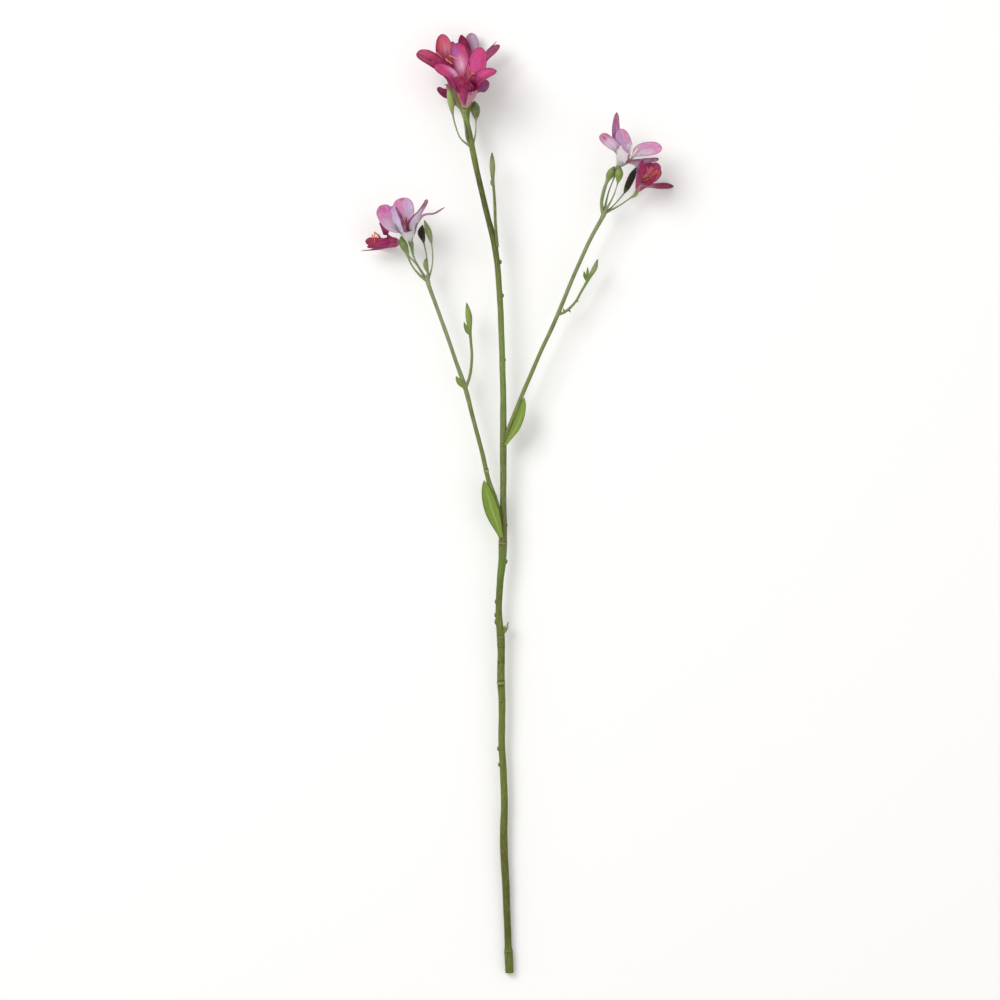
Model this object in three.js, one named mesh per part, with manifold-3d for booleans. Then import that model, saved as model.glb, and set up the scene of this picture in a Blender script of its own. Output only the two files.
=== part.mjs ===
// A bramble lily: one cut stem with two side branches, lying on its side on a flat surface.
// Millimetres. +Y runs along the stem towards the flowers, +X across it and +Z up from the surface.
// The origin is on the surface, under the middle of the spray's bounding box.

import * as THREE from "three";
import { mergeVertices } from "three/addons/utils/BufferGeometryUtils.js";
import Module from "manifold-3d";

const wasm = await Module();
wasm.setup();

// Driving dimensions
const cutEndY = -376; // the cut end's middle, the origin being half way up the spray
const cutEndHeight = 3.4; // height of the stem's centre line at the cut end
const stemSlope = 0.031; // the flower heads hold the stem's top off the surface
const seam = 0.3; // clearance between neighbouring pieces
const tepalThickness = 0.8;
const leafThickness = 0.9;
const bractThickness = 0.8;
const receptacleLength = 4.5;
const pistilReach = 28; // from the foot of a full-size bloom to its stigmas
const filamentRadius = 0.42;
const antherRadius = 1;
const whorlStep = 0.35; // every second tepal starts this far outside the bell's wall, the others inside
const tipRounding = 2.6; // the power that a tepal's width closes by towards its tip
const leastHalfWidth = 0.55; // of a tepal, at its tip
const rowCrowding = 1.5; // rows of a sheet's grid crowd towards its tip by this power

// Colours
const finish = (colour, roughness) =>
  new THREE.MeshStandardMaterial({ color: colour, roughness, metalness: 0 });
const stemGreen = finish(0x7a8c3c, 0.6);
const leafGreen = finish(0x7f9a3f, 0.55);
const budGreen = finish(0x8ca84c, 0.5);
const darkBudGreen = finish(0x2a3318, 0.5);
const magenta = finish(0xb42a6c, 0.6);
const paleLilac = finish(0xd9b6d4, 0.6);
const orange = finish(0xe8844c, 0.6);
const cream = finish(0xe9dec2, 0.6);

// Helpers
const vector = (xyz) => new THREE.Vector3(xyz[0], xyz[1], xyz[2]);
const smooth = (a, b, x) => THREE.MathUtils.smoothstep(x, a, b);
const stemHeight = (y) => cutEndHeight + (y - cutEndY) * stemSlope;

// A three.js geometry as a solid that can be joined and cut.
function solidOf(geometry) {
  const bare = new THREE.BufferGeometry();
  bare.setAttribute("position", geometry.attributes.position);
  bare.setIndex(geometry.index);
  const merged = mergeVertices(bare, 1e-4);
  const vertProperties = merged.attributes.position.array;
  const triVerts = new Uint32Array(merged.index.array);
  return new wasm.Manifold(new wasm.Mesh({ numProp: 3, vertProperties, triVerts }));
}

const join = (solids) => solids.reduce((sum, solid) => sum.add(solid));

// The value at t on straight lines through stops, [t, value]
function between(stops, t) {
  const next = Math.max(stops.findIndex(([place]) => place >= t), 1);
  const [[t0, a], [t1, b]] = [stops[next - 1], stops[next]];
  return THREE.MathUtils.mapLinear(t, t0, t1, a, b);
}

// The solid back as a named mesh, cut flat where it would dip below the surface.
function meshOf(name, solid, material) {
  const made = largestBody(solid.trimByPlane([0, 0, 1], 0)).getMesh();
  const geometry = new THREE.BufferGeometry();
  geometry.setAttribute("position", new THREE.BufferAttribute(made.vertProperties, 3));
  geometry.setIndex(new THREE.BufferAttribute(made.triVerts, 1));
  const mesh = new THREE.Mesh(geometry, material);
  mesh.name = name;
  return mesh;
}

const largestBody = (solid) =>
  solid.decompose().reduce((a, b) => (b.volume() > a.volume() ? b : a));

// A round limb through points [x, y, z, radius]: a cylinder bent along their curve.
// "extra" makes it that much fatter and longer, as the clearance round a piece that sits on it.
function limb(points, sides = 8, stepsPerSpan = 1, extra = 0) {
  const spots = points.map(vector);
  const last = spots.length - 1;
  const chord = spots[last].clone().sub(spots[0]).normalize();
  spots[0].add(spots[0].clone().sub(spots[1]).setLength(extra));
  spots[last].add(spots[last].clone().sub(spots[last - 1]).setLength(extra));
  const path = new THREE.CatmullRomCurve3(spots, false, "centripetal");
  const size = new THREE.SplineCurve(points.map((p, i) => new THREE.Vector2(i, p[3])));
  const up = Math.abs(chord.z) < 0.8 ? new THREE.Vector3(0, 0, 1) : new THREE.Vector3(1, 0, 0);
  const tube = new THREE.CylinderGeometry(1, 1, 1, sides, last * stepsPerSpan);
  const spot = tube.attributes.position;
  for (let i = 0; i < spot.count; i++) {
    const along = THREE.MathUtils.clamp(spot.getY(i) + 0.5, 0, 1);
    const ahead = path.getTangent(along);
    const across = new THREE.Vector3().crossVectors(ahead, up).normalize();
    const over = new THREE.Vector3().crossVectors(across, ahead);
    const radius = Math.max(size.getPoint(along).y, 0.3) + extra;
    const place = path
      .getPoint(along)
      .addScaledVector(across, spot.getX(i) * radius)
      .addScaledVector(over, spot.getZ(i) * radius);
    spot.setXYZ(i, place.x, place.y, place.z);
  }
  return solidOf(tube);
}

// A thin closed sheet about a middle surface point(s, t), s from -1 to 1 across and t from 0 to 1 along.
// Both faces are split into triangles alike.
function sheet(point, across, along, thickness) {
  const step = 1e-3;
  const row = across + 1;
  const faceCount = row * (along + 1);
  const places = [];
  for (const side of [0.5, -0.5])
    for (let i = 0; i <= along; i++)
      for (let j = 0; j <= across; j++) {
        const t = 1 - (1 - i / along) ** rowCrowding;
        const s = (2 * j) / across - 1;
        const t0 = Math.min(t, 1 - step);
        const ds = point(s + step, t).sub(point(s - step, t));
        const dt = point(s, t0 + step).sub(point(s, t0));
        const normal = ds.cross(dt).normalize();
        places.push(...point(s, t).addScaledVector(normal, side * thickness));
      }
  const faces = [];
  for (let i = 0; i < along; i++)
    for (let j = 0; j < across; j++) {
      const a = i * row + j;
      const [b, c, d] = [a + 1, a + row + 1, a + row];
      faces.push(a, b, c, a, c, d);
      const [e, f, g, h] = [a, b, c, d].map((k) => k + faceCount);
      faces.push(e, g, f, e, h, g);
    }
  const rim = [];
  for (let j = 0; j < across; j++) rim.push(j);
  for (let i = 0; i < along; i++) rim.push(i * row + across);
  for (let j = across; j > 0; j--) rim.push(along * row + j);
  for (let i = along; i > 0; i--) rim.push(i * row);
  rim.forEach((a, k) => {
    const b = rim[(k + 1) % rim.length];
    faces.push(a, a + faceCount, b, b, a + faceCount, b + faceCount);
  });
  const geometry = new THREE.BufferGeometry();
  geometry.setAttribute("position", new THREE.Float32BufferAttribute(places, 3));
  geometry.setIndex(faces);
  return solidOf(geometry);
}

// A leaf or bract along a curve, "facing" the way its hollow side looks.
// Half its width grows to the middle and closes to a pointed or round tip; the edges lift by "fold".
function blade({ line, facing, width, widest = 0.45, point = 1, fold = 0.3, cells = [2, 6], thickness }) {
  const path = new THREE.CatmullRomCurve3(line.map(vector), false, "centripetal");
  const half = (t) => {
    const grown = t < widest ? 0.35 + 0.65 * smooth(0, widest, t) : 1;
    const closed = t < widest ? 1 : (1 - ((t - widest) / (1 - widest)) ** 2) ** point;
    return Math.max((width / 2) * grown * closed, 0.4);
  };
  const middle = (s, t) => {
    const ahead = path.getTangent(t);
    const side = new THREE.Vector3().crossVectors(ahead, vector(facing)).normalize();
    const lift = new THREE.Vector3().crossVectors(side, ahead);
    return path
      .getPoint(t)
      .addScaledVector(side, s * half(t))
      .addScaledVector(lift, fold * half(t) * s * s);
  };
  return sheet(middle, cells[0], cells[1], thickness);
}

// A bloom's own axes: ahead out of its mouth, front towards +Z, and right of that.
function axesOf(bloom) {
  const foot = vector(bloom.foot);
  const ahead = vector(bloom.mouth).sub(foot).normalize();
  const front = new THREE.Vector3(0, 0, 1).addScaledVector(ahead, -ahead.z).normalize();
  const right = new THREE.Vector3().crossVectors(ahead, front);
  const around = (degrees) => {
    const angle = THREE.MathUtils.degToRad(degrees);
    return front.clone().multiplyScalar(Math.cos(angle)).addScaledVector(right, Math.sin(angle));
  };
  return { foot, ahead, around };
}

// The bell's outer and inner wall, [radius, distance from the foot], at full size.
const bellOutside = [[0, 0], [1.7, 0], [2.8, 1.8], [5, 6.5], [6.9, 12.5]];
const bellInside = [[6.1, 12.5], [4.1, 6.6], [1.3, 4], [0, 4]];
const tepalRoot = { along: 9.4, radius: 5.5, halfWidth: 3.4 };
const usualTepal = {
  face: null, cup: 0.15, cupFrom: 0.8, widest: 0.62, sharp: 0.5, widths: null, root: 1, neck: 1,
  cells: [3, 5],
};

function bell(bloom) {
  const { foot, ahead } = axesOf(bloom);
  const outline = [...bellOutside, ...bellInside].map(
    ([r, h]) => new THREE.Vector2(r * bloom.size, h * bloom.size),
  );
  const geometry = new THREE.LatheGeometry(outline, 10);
  const upright = new THREE.Vector3(0, 1, 0);
  geometry.applyQuaternion(new THREE.Quaternion().setFromUnitVectors(upright, ahead));
  geometry.translate(foot.x, foot.y, foot.z);
  return solidOf(geometry);
}

// One tepal: a cupped blade along a curve from the bell's wall through the points of its line.
// Its hollow side looks at the bloom's axis, or turns to "face" once the tepal has left the bell.
// A low root leaves the bell nearer its foot; neck scales the width there. Its width grows to "widest"
// and closes to the tip, or follows "widths", [place along it, width]; its cup is full from "cupFrom" on.
function tepal(bloom, index) {
  const { foot, ahead, around } = axesOf(bloom);
  const shape = { ...usualTepal, ...bloom.tepals[index] };
  const { line, width, face, cup, cupFrom, widest, sharp, widths, root, neck } = shape;
  const out = around(bloom.turn + 60 * index);
  const sideways = new THREE.Vector3().crossVectors(ahead, out);
  const whorl = index % 2 ? whorlStep : -whorlStep;
  const scale = bloom.size;
  const start = foot
    .clone()
    .addScaledVector(ahead, tepalRoot.along * root * scale)
    .addScaledVector(out, tepalRoot.radius * root * scale + whorl);
  const path = new THREE.CatmullRomCurve3([start, ...line.map(vector)], false, "centripetal");
  const rootHalf = tepalRoot.halfWidth * scale * neck;
  const ring = tepalRoot.radius * scale * root;
  const wrap = (ring - Math.sqrt(Math.max(ring ** 2 - rootHalf ** 2, 0))) / rootHalf;
  const half = (t) => {
    if (widths) return Math.max(between([[0, 2 * rootHalf], ...widths], t) / 2, leastHalfWidth);
    const x = (t - widest) / (1 - widest);
    if (t < widest) return THREE.MathUtils.lerp(rootHalf, width / 2, smooth(0, 1, t / widest));
    return Math.max((width / 2) * (1 - x ** tipRounding) ** sharp, leastHalfWidth);
  };
  const middle = (s, t) => {
    const forward = path.getTangentAt(t);
    const turned = face ? vector(face).cross(forward).normalize() : sideways;
    const level = sideways.clone().lerp(turned, smooth(0.1, 0.5, t));
    level.addScaledVector(forward, -level.dot(forward)).normalize();
    const inward = new THREE.Vector3().crossVectors(forward, level);
    const hollow = THREE.MathUtils.lerp(wrap, cup, smooth(0.1, cupFrom, t));
    return path
      .getPointAt(t)
      .addScaledVector(level, s * half(t))
      .addScaledVector(inward, hollow * half(t) * s * s);
  };
  return sheet(middle, ...shape.cells, tepalThickness);
}

const perianth = (bloom) => join([bell(bloom), ...bloom.tepals.map((_, i) => tepal(bloom, i))]);

// Three stamens and a pistil with three short stigmas, on one small column on the bell's floor.
// Each stamen runs up the bell and on to where its anther starts and ends.
function stamens(bloom) {
  const { foot, ahead, around } = axesOf(bloom);
  const reach = pistilReach * bloom.size * bloom.reach;
  const spread = bloom.spread * bloom.size;
  const floor = bellInside.at(-1)[1] * bloom.size + seam;
  const turns = [60, 180, 300].map((turn) => bloom.turn + turn);
  const spot = (along, out, degrees) =>
    foot.clone().addScaledVector(ahead, along).addScaledVector(around(degrees), out);
  const straight = (degrees) => [0.9, 1.14].map((v) => spot(reach * v, spread * v, degrees).toArray());
  const ends = (bloom.anthers ?? turns.map(straight)).map((pair) => pair.map(vector));
  const middle = ends.reduce((sum, [start]) => sum.add(start), new THREE.Vector3()).divideScalar(3);
  middle.addScaledVector(ahead, -2 * bloom.size);
  const throat = 0.6 * middle.distanceTo(foot);
  const at = (place, radius) => [...place, radius];
  const parts = [limb([at(spot(floor, 0, 0), 0.7), at(spot(throat, 0, 0), 0.6), at(middle, 0.5)], 4)];
  ends.forEach(([start, end], i) => {
    const filament = [
      at(spot(floor + 0.6, 0.7 * bloom.size, turns[i]), filamentRadius),
      at(spot(throat, spread * 0.5, turns[i]), filamentRadius),
      at(start, filamentRadius),
      at(start.clone().lerp(end, 0.4), antherRadius * bloom.size),
      at(end, 0.5),
    ];
    const parted = middle.clone().addScaledVector(around(turns[i] + 60), 1.5 * bloom.size);
    const stigma = [at(middle.clone().addScaledVector(ahead, -0.4), 0.45), at(parted.add(ahead), 0.4)];
    parts.push(limb(filament, 3), limb(stigma, 3));
  });
  return join(parts);
}

// Blooms: the foot stands on the green receptacle, the mouth is a point on the axis out of the bell,
// turn is the first tepal's place round the bell, from the side towards +Z.
// "anthers" are each anther's two ends; without them the stamens part by "spread" at their tips.
const usualBloom = {
  size: 1, colour: magenta, filaments: orange, reach: 1, spread: 4, anthers: null,
};
const blooms = {
  top_front: {
    ...usualBloom,
    foot: [-41.7, 314.9, 31],
    mouth: [-38.8, 340.5, 50],
    turn: -15,
    size: 1.12,
    anthers: [
      [[-37.8, 341.2, 54], [-38.6, 345.2, 59]], [[-39.8, 340.4, 54.5], [-41.6, 342.6, 59]],
      [[-36.6, 339.8, 55], [-33.4, 340.2, 60]],
    ],
    tepals: [
      {
        line: [[-42, 331, 54], [-42.5, 337.6, 60.5], [-43.3, 335, 66.5], [-44, 327.6, 67]],
        widths: [[0.3, 13], [0.6, 14], [0.8, 10.5], [1, 1.6]], root: 1.3, neck: 1.3,
        cup: -0.4, cupFrom: 0.5, cells: [4, 6],
      },
      {
        line: [[-31.6, 335.4, 55], [-24, 340.4, 57.5], [-16.2, 342.4, 57]],
        widths: [[0.3, 11.5], [0.6, 10.5], [0.85, 7.5], [1, 3.4]], root: 1.3, neck: 1.3, face: [-0.2, 0.3, 1],
      },
      { line: [[-29, 328.6, 40], [-22.4, 335.1, 38]], width: 12, face: [-0.5, 0.5, -0.7] },
      {
        line: [[-33.8, 341.1, 42], [-28.6, 362, 47]],
        widths: [[0.25, 13.5], [0.5, 15.4], [0.82, 13], [1, 6]], face: [-0.1, -0.3, 1],
      },
      { line: [[-43, 341.1, 42], [-48.1, 365.4, 47]], width: 13.8, face: [0.1, -0.3, 1], widest: 0.75 },
      { line: [[-52.5, 339.4, 54], [-65.9, 346.2, 58]], width: 10, face: [0.2, 0.3, 1], neck: 1.3 },
    ],
  },
  top_left: {
    ...usualBloom,
    foot: [-46.4, 323.9, 17],
    mouth: [-54.6, 351.3, 34],
    turn: -30,
    size: 0.9,
    anthers: [
      [[-53.6, 355.4, 47], [-46, 351.6, 52]], [[-56.4, 352.4, 46.4], [-51.3, 348.4, 50]],
      [[-60.5, 354.8, 42], [-64.8, 359, 46]],
    ],
    tepals: [
      {
        line: [[-55.5, 344.5, 40], [-62, 348.8, 43.5], [-68.2, 351.4, 45]],
        widths: [[0.35, 8.6], [0.7, 9.6], [0.9, 8.5], [1, 5]], face: [0.3, 0.1, -1],
      },
      { line: [[-49.4, 340.6, 36], [-46.6, 346.4, 36]], width: 8, cells: [2, 4] },
      { line: [[-46.3, 348.6, 28], [-44.3, 358.9, 29]], width: 9, cells: [2, 4] },
      { line: [[-50.6, 352.1, 24], [-51.6, 368.5, 24]], width: 8, face: [0, -0.2, 1], cells: [2, 4] },
      { line: [[-56.7, 353.5, 26], [-60, 373.9, 30]], width: 14.2, face: [0.1, -0.2, 1], widest: 0.6 },
      {
        line: [[-58.2, 344.7, 32], [-68.5, 352.6, 38], [-79.7, 358.6, 36]],
        width: 12.2, face: [0.2, 0.3, 1], cup: 0.34, widest: 0.68, neck: 0.8, sharp: 0.42,
      },
    ],
  },
  top_back: {
    ...usualBloom,
    foot: [-37.2, 322.3, 17],
    mouth: [-33.6, 352.7, 16],
    turn: 0,
    size: 0.9,
    reach: 0.75,
    spread: 1.6,
    tepals: [
      { line: [[-33.6, 347.2, 25], [-31.9, 359.8, 28]], width: 9, cells: [2, 4] },
      { line: [[-28.3, 351.6, 20], [-13.9, 365.8, 22]], width: 7, face: [-0.3, 0.3, 1], widest: 0.75 },
      { line: [[-29.6, 353, 12], [-16.2, 369.4, 14]], width: 5, face: [-1, 0.3, 0.2], cells: [2, 5] },
      { line: [[-36, 353.4, 7], [-36.5, 376.5, 9]], width: 11.6, face: [0, -0.2, 1], widest: 0.75 },
      {
        line: [[-40.8, 354.7, 11], [-44.8, 374.7, 16]],
        width: 10.6, face: [0.2, -0.2, 1], widest: 0.66, sharp: 0.8,
      },
      { line: [[-42.3, 348.9, 24], [-44.7, 360.8, 25]], width: 9, cells: [2, 4] },
    ],
  },
  top_small: {
    ...usualBloom,
    foot: [-47.5, 318.2, 11.4],
    mouth: [-56, 327.6, 10],
    turn: 0,
    size: 0.55,
    reach: 0.7,
    spread: 2.4,
    tepals: [
      { line: [[-58.4, 327.1, 17], [-63.5, 332.4, 16]], width: 6, face: [0.3, 0.3, 1], cells: [2, 5] },
      { line: [[-52.5, 329.7, 14], [-53.9, 334.1, 15], [-58.1, 334.6, 16]], width: 4.6, cells: [2, 6] },
      { line: [[-54, 331, 7], [-56.5, 334.3, 5]], width: 5, cells: [2, 4] },
      { line: [[-56.9, 328.9, 3], [-60.1, 331.7, 1.6]], width: 6, cells: [2, 4] },
      { line: [[-56.4, 326.3, 5], [-60.1, 328.3, 4]], width: 5, cells: [2, 4] },
      { line: [[-55.5, 324.2, 12], [-59.6, 326.9, 12]], width: 5, cells: [2, 4] },
    ],
  },
  left_pale: {
    ...usualBloom,
    foot: [-85, 208.5, 24],
    mouth: [-89.9, 227.4, 43],
    turn: 30,
    colour: paleLilac,
    spread: 2.2,
    anthers: [
      [[-88.4, 222.5, 39.5], [-88, 227.5, 43.5]], [[-89.8, 222.5, 38.5], [-90.6, 225.4, 42]],
      [[-87, 222.5, 38.5], [-86, 225.4, 42]],
    ],
    tepals: [
      {
        line: [[-82.8, 222.5, 46], [-77.9, 230.3, 48], [-74.2, 236, 46], [-71.2, 241.2, 45]],
        widths: [[0.25, 12.5], [0.52, 8.4], [0.68, 4.6], [0.85, 3.9], [1, 3.4]],
        face: [-0.3, 0, -1], neck: 1.5, cells: [3, 6],
      },
      {
        line: [[-78.9, 223.2, 37], [-74.4, 228.8, 37], [-65.4, 230.6, 36], [-57.4, 235.6, 35]],
        widths: [[0.25, 7], [0.45, 4.4], [0.8, 3.6], [1, 1.6]], face: [-0.4, 1, 0.5], cells: [2, 6],
      },
      {
        line: [[-88.9, 224.8, 30], [-91.4, 243.3, 31]],
        width: 17, face: [0, -0.2, 1], widest: 0.62, sharp: 0.42,
      },
      { line: [[-96.6, 227.4, 27], [-100.6, 236.7, 26]], width: 9, face: [0.2, -0.2, 1], cells: [2, 4] },
      {
        line: [[-98.8, 221.6, 38], [-109.6, 236, 41]],
        widths: [[0.12, 14], [0.55, 17], [0.85, 13.5], [1, 7]], root: 1.1, neck: 1.6, face: [0.3, 0.2, 1],
      },
      {
        line: [[-92.4, 220.8, 50], [-95, 228.4, 54], [-98.2, 235.6, 55]],
        widths: [[0.3, 12.6], [0.6, 12], [0.85, 9], [1, 5]], face: [0.4, 0, -1], neck: 1.5,
      },
    ],
  },
  left_magenta: {
    ...usualBloom,
    foot: [-93.5, 208, 19],
    mouth: [-107.2, 208.9, 17],
    turn: 0,
    size: 0.72,
    spread: 2,
    anthers: [
      [[-113.9, 216.4, 27], [-113.6, 207.4, 28.9]], [[-110.8, 214.6, 26.4], [-112.5, 210.6, 28.7]],
      [[-116, 214, 26.4], [-114.8, 210.2, 28.7]],
    ],
    tepals: [
      {
        line: [[-107.8, 207.4, 25], [-121.1, 208.9, 24]],
        width: 8.2, face: [0.3, 0.5, -1], widest: 0.66, neck: 1.35,
      },
      {
        line: [[-102.9, 214.2, 21], [-106, 219.4, 22], [-109.9, 224, 22]],
        widths: [[0.35, 6], [0.7, 4.4], [1, 1.2]], face: [0.3, -0.8, 0.6], neck: 1.3, cells: [2, 6],
      },
      { line: [[-104, 210.6, 9], [-109, 210, 6]], width: 7, cells: [2, 4] },
      { line: [[-106.6, 208.5, 5], [-117.2, 209.5, -0.4]], width: 8, cells: [2, 4] },
      {
        line: [[-109.6, 203.2, 13], [-124.9, 201.8, 13]],
        widths: [[0.3, 6.4], [0.6, 5.4], [0.8, 3], [1, 1.1]], face: [0.2, 1, 0.2], neck: 1.3, cells: [2, 5],
      },
      { line: [[-106.3, 204.4, 20], [-119.8, 204.6, 20]], width: 6, widest: 0.7, neck: 1.3, cells: [2, 4] },
    ],
  },
  right_pale: {
    ...usualBloom,
    foot: [80.9, 268.7, 24],
    mouth: [88.3, 281, 38],
    turn: 30,
    colour: paleLilac,
    filaments: cream,
    spread: 2.2,
    anthers: [
      [[89.6, 277, 44], [91.4, 285.4, 49]], [[91.6, 276, 44], [96, 281.8, 48]],
      [[87.6, 280, 42], [88.8, 286, 48]],
    ],
    tepals: [
      {
        line: [[92.5, 270.6, 40.5], [102, 272.4, 43.5], [112.6, 273.4, 44]],
        widths: [[0.2, 12], [0.42, 8.6], [0.62, 5.6], [0.85, 4.8], [1, 3.8]],
        face: [0.1, 0.5, -0.85], neck: 1.5, cup: 0.05, cupFrom: 0.4, cells: [3, 6],
      },
      { line: [[97.9, 280.2, 35], [115.4, 282.8, 36]], width: 11.4, face: [-0.2, 0.2, 1] },
      { line: [[85.2, 287, 31], [81.8, 298.2, 32]], width: 12.4, face: [0, -0.2, 1], widest: 0.5 },
      {
        line: [[78.9, 294.3, 29], [79.4, 311.6, 30]],
        widths: [[0.3, 8.4], [0.6, 6.6], [0.85, 4.8], [1, 1.6]], face: [0.3, -0.2, 1], cells: [2, 6],
      },
      { line: [[76, 284.4, 33], [66.2, 293.3, 34]], width: 9.6, face: [0.3, 0.2, 1], sharp: 0.42, neck: 1.5 },
      {
        line: [[82.6, 277, 43], [85.2, 281.4, 47.4]],
        widths: [[0.3, 13.5], [0.65, 14], [0.9, 12], [1, 8]], neck: 1.5, cells: [4, 5],
      },
    ],
  },
  right_magenta: {
    ...usualBloom,
    foot: [95.9, 249.1, 20],
    mouth: [104.4, 263.9, 30],
    turn: 0,
    size: 0.85,
    anthers: [
      [[104.2, 262, 33], [103.4, 267.6, 38]], [[106.4, 262, 33], [107.9, 267.6, 38]],
      [[108.8, 261.4, 33], [111.8, 265.6, 38]],
    ],
    tepals: [
      {
        line: [[104.4, 254.6, 35], [112.3, 262.4, 37]],
        widths: [[0.35, 7], [0.7, 5.6], [0.9, 3.6], [1, 1.6]], face: [0.2, 0.6, -0.8], neck: 1.2,
      },
      { line: [[110, 260.8, 29], [114.8, 265.2, 30]], width: 9, face: [-0.4, 0.3, 1], cells: [2, 5] },
      {
        line: [[108.1, 253.4, 12], [125.9, 254.4, -0.4]],
        width: 5.8, face: [-0.2, 0.4, 1], root: 0.6, neck: 0.55, widest: 0.7, sharp: 0.8, cells: [2, 5],
      },
      { line: [[108.7, 264.6, 18], [112.4, 271.9, 17]], width: 10, face: [0, -0.2, 1] },
      { line: [[103.9, 264.6, 18], [105.2, 273.5, 19]], width: 9, face: [0.1, -0.2, 1], cells: [2, 4] },
      {
        line: [[95.8, 260.6, 38.6], [98, 267.4, 46.8], [99.8, 273, 48.8]],
        widths: [[0.35, 11], [0.65, 9.4], [0.88, 5], [1, 1.6]], face: [0.8, 0, -0.6], neck: 1.3,
      },
    ],
  },
};

// The cut stem, [x, y, radius], from the cut end up to the top head.
const stemRun = [
  [-6.3, -377, 3.5], [-6.8, -362.5, 3.4], [-7.3, -342.4, 3.1], [-8.8, -302.2, 3.2], [-10.2, -274.1, 3.1],
  [-9.6, -238, 3.2], [-10.6, -213.9, 3.1], [-12.4, -192.3, 3.1], [-12.2, -157.8, 3.2], [-12.4, -141.7, 3.3],
  [-12.4, -121.7, 3.1], [-13, -108.1, 3.3], [-14.3, -85.7, 3.1], [-13.2, -61.6, 3.1], [-11.6, -45.6, 3.3],
  [-11.1, -29.6, 3.5], [-10.4, 2.4, 2.8], [-10.8, 48, 2.8], [-11, 82.4, 2.6], [-12, 122.3, 2.5],
  [-13.6, 162.2, 2.5], [-15.6, 192.5, 2.6], [-18.4, 210.1, 2.6], [-22.4, 226, 2.4], [-26.4, 242, 2.3],
  [-30.4, 257.9, 2.3], [-33.8, 273.9, 2.4], [-35.6, 282.2, 2.4],
];
const stemPoints = stemRun.map(([x, y, radius]) => [x, y, stemHeight(y), radius]);
const topTwig = [
  [-15.6, 204.5, 22.6, 1.2], [-16.3, 211.6, 24.2, 1.2], [-17.3, 224.3, 25.4, 1.2], [-17.7, 237.8, 26, 1.2],
  [-18.5, 249.8, 26.4, 1.1], [-19.3, 257.7, 26.7, 1.3], [-19.7, 268.1, 27, 2.3], [-19.9, 274.5, 27.1, 1.7],
  [-20, 279.4, 27.2, 0.4],
];
// Rings where old leaves stood, [distance along Y, radius, half length]
const stemRings = [
  [-107.5, 3.7, 1.2], [-112.5, 3.6, 1.6], [-126.5, 3.7, 1.4], [-143, 3.9, 1.6], [-157, 3.6, 1.4],
];
// Small buds and scars beside the stem, [x, y, radius]
const stemScars = [
  [-17.6, -78.9, 1.2], [-17.5, -90.4, 1.1], [-17.3, -94.2, 1.2], [-8.3, -17.7, 1.1], [-8.6, -46.6, 1.2],
  [-14.9, -196.7, 1.1], [-14.3, -209.5, 1], [-13.3, 192.6, 1.1], [-11.4, 165.8, 1],
];
const scarStretch = 1.6; // along the stem
const stub = [[-12, -104.5, 11.6, 1.9], [-9.8, -101.4, 12.4, 1.8], [-8, -98.4, 12.8, 1.6]];

function mainStem() {
  const rings = stemRings.map(([y, radius, half]) => {
    const near = stemPoints.reduce((a, b) => (Math.abs(b[1] - y) < Math.abs(a[1] - y) ? b : a));
    const at = (dy) => [near[0], y + dy, stemHeight(y + dy), radius];
    return limb([at(-half), at(half)], 8);
  });
  const scars = stemScars.map(([x, y, radius]) => {
    const scar = new THREE.SphereGeometry(radius, 5, 3);
    scar.scale(1, scarStretch, 1);
    scar.translate(x, y, stemHeight(y));
    return solidOf(scar);
  });
  const bract = blade({
    line: [[-18.7, 252.1, 26.6], [-19.7, 255.2, 28.4], [-21.1, 257.3, 29.4]],
    facing: [0.2, -0.3, 1],
    width: 3.4,
    cells: [2, 3],
    thickness: bractThickness,
  });
  const stem = limb(stemPoints, 8);
  return join([stem, limb(topTwig), limb(stub), bract, ...rings, ...scars]);
}

// Side branches, [x, y, z, radius], each with its own twig of one bud.
const leftRun = [
  [-11.2, -32, 13.4, 1.6], [-13.6, -13.6, 15.4, 1.9], [-17.2, 2.4, 17, 2], [-22.8, 18.4, 17.7, 1.9],
  [-28.4, 42.4, 18, 1.8], [-34.8, 66.3, 18.5, 1.7], [-40.9, 90.3, 19, 1.9], [-49.2, 114.3, 19.7, 1.6],
  [-57.5, 138.2, 20.5, 1.6], [-66.3, 162.2, 21.3, 1.6], [-70.6, 174, 21.9, 1.7],
];
const leftTwig = [
  [-41.3, 91.1, 19.2, 1.3], [-37.7, 101.7, 20.2, 1.2], [-36.1, 116.4, 21, 1.1], [-36.9, 129.4, 21.6, 1.1],
  [-37.6, 136.6, 22, 1.4], [-38.5, 148.6, 22.4, 2.7], [-39.5, 155.4, 22.5, 1.7], [-40.2, 159.7, 22.6, 0.4],
];
const rightRun = [
  [-11, 43.2, 15.6, 1.5], [-6.8, 58.4, 18, 1.8], [-0.8, 74.3, 19, 1.7], [9.2, 98.3, 19.6, 1.7],
  [19.6, 122.3, 20.2, 1.6], [30.7, 146.2, 20.8, 1.7], [43.9, 178.2, 21.3, 1.6], [58.3, 210.1, 21.8, 1.6],
  [67.5, 227, 21.9, 1.7],
];
const rightTwig = [
  [31.9, 150.2, 20.9, 1.2], [38.7, 152.9, 21.6, 1.1], [46.9, 161, 22.1, 1], [50.9, 168.1, 22.4, 1],
  [55, 175.2, 22.7, 1.1], [58.7, 181.7, 22.9, 1.5], [62.1, 188, 23, 2.1], [64.4, 194.5, 23, 0.4],
];

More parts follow.
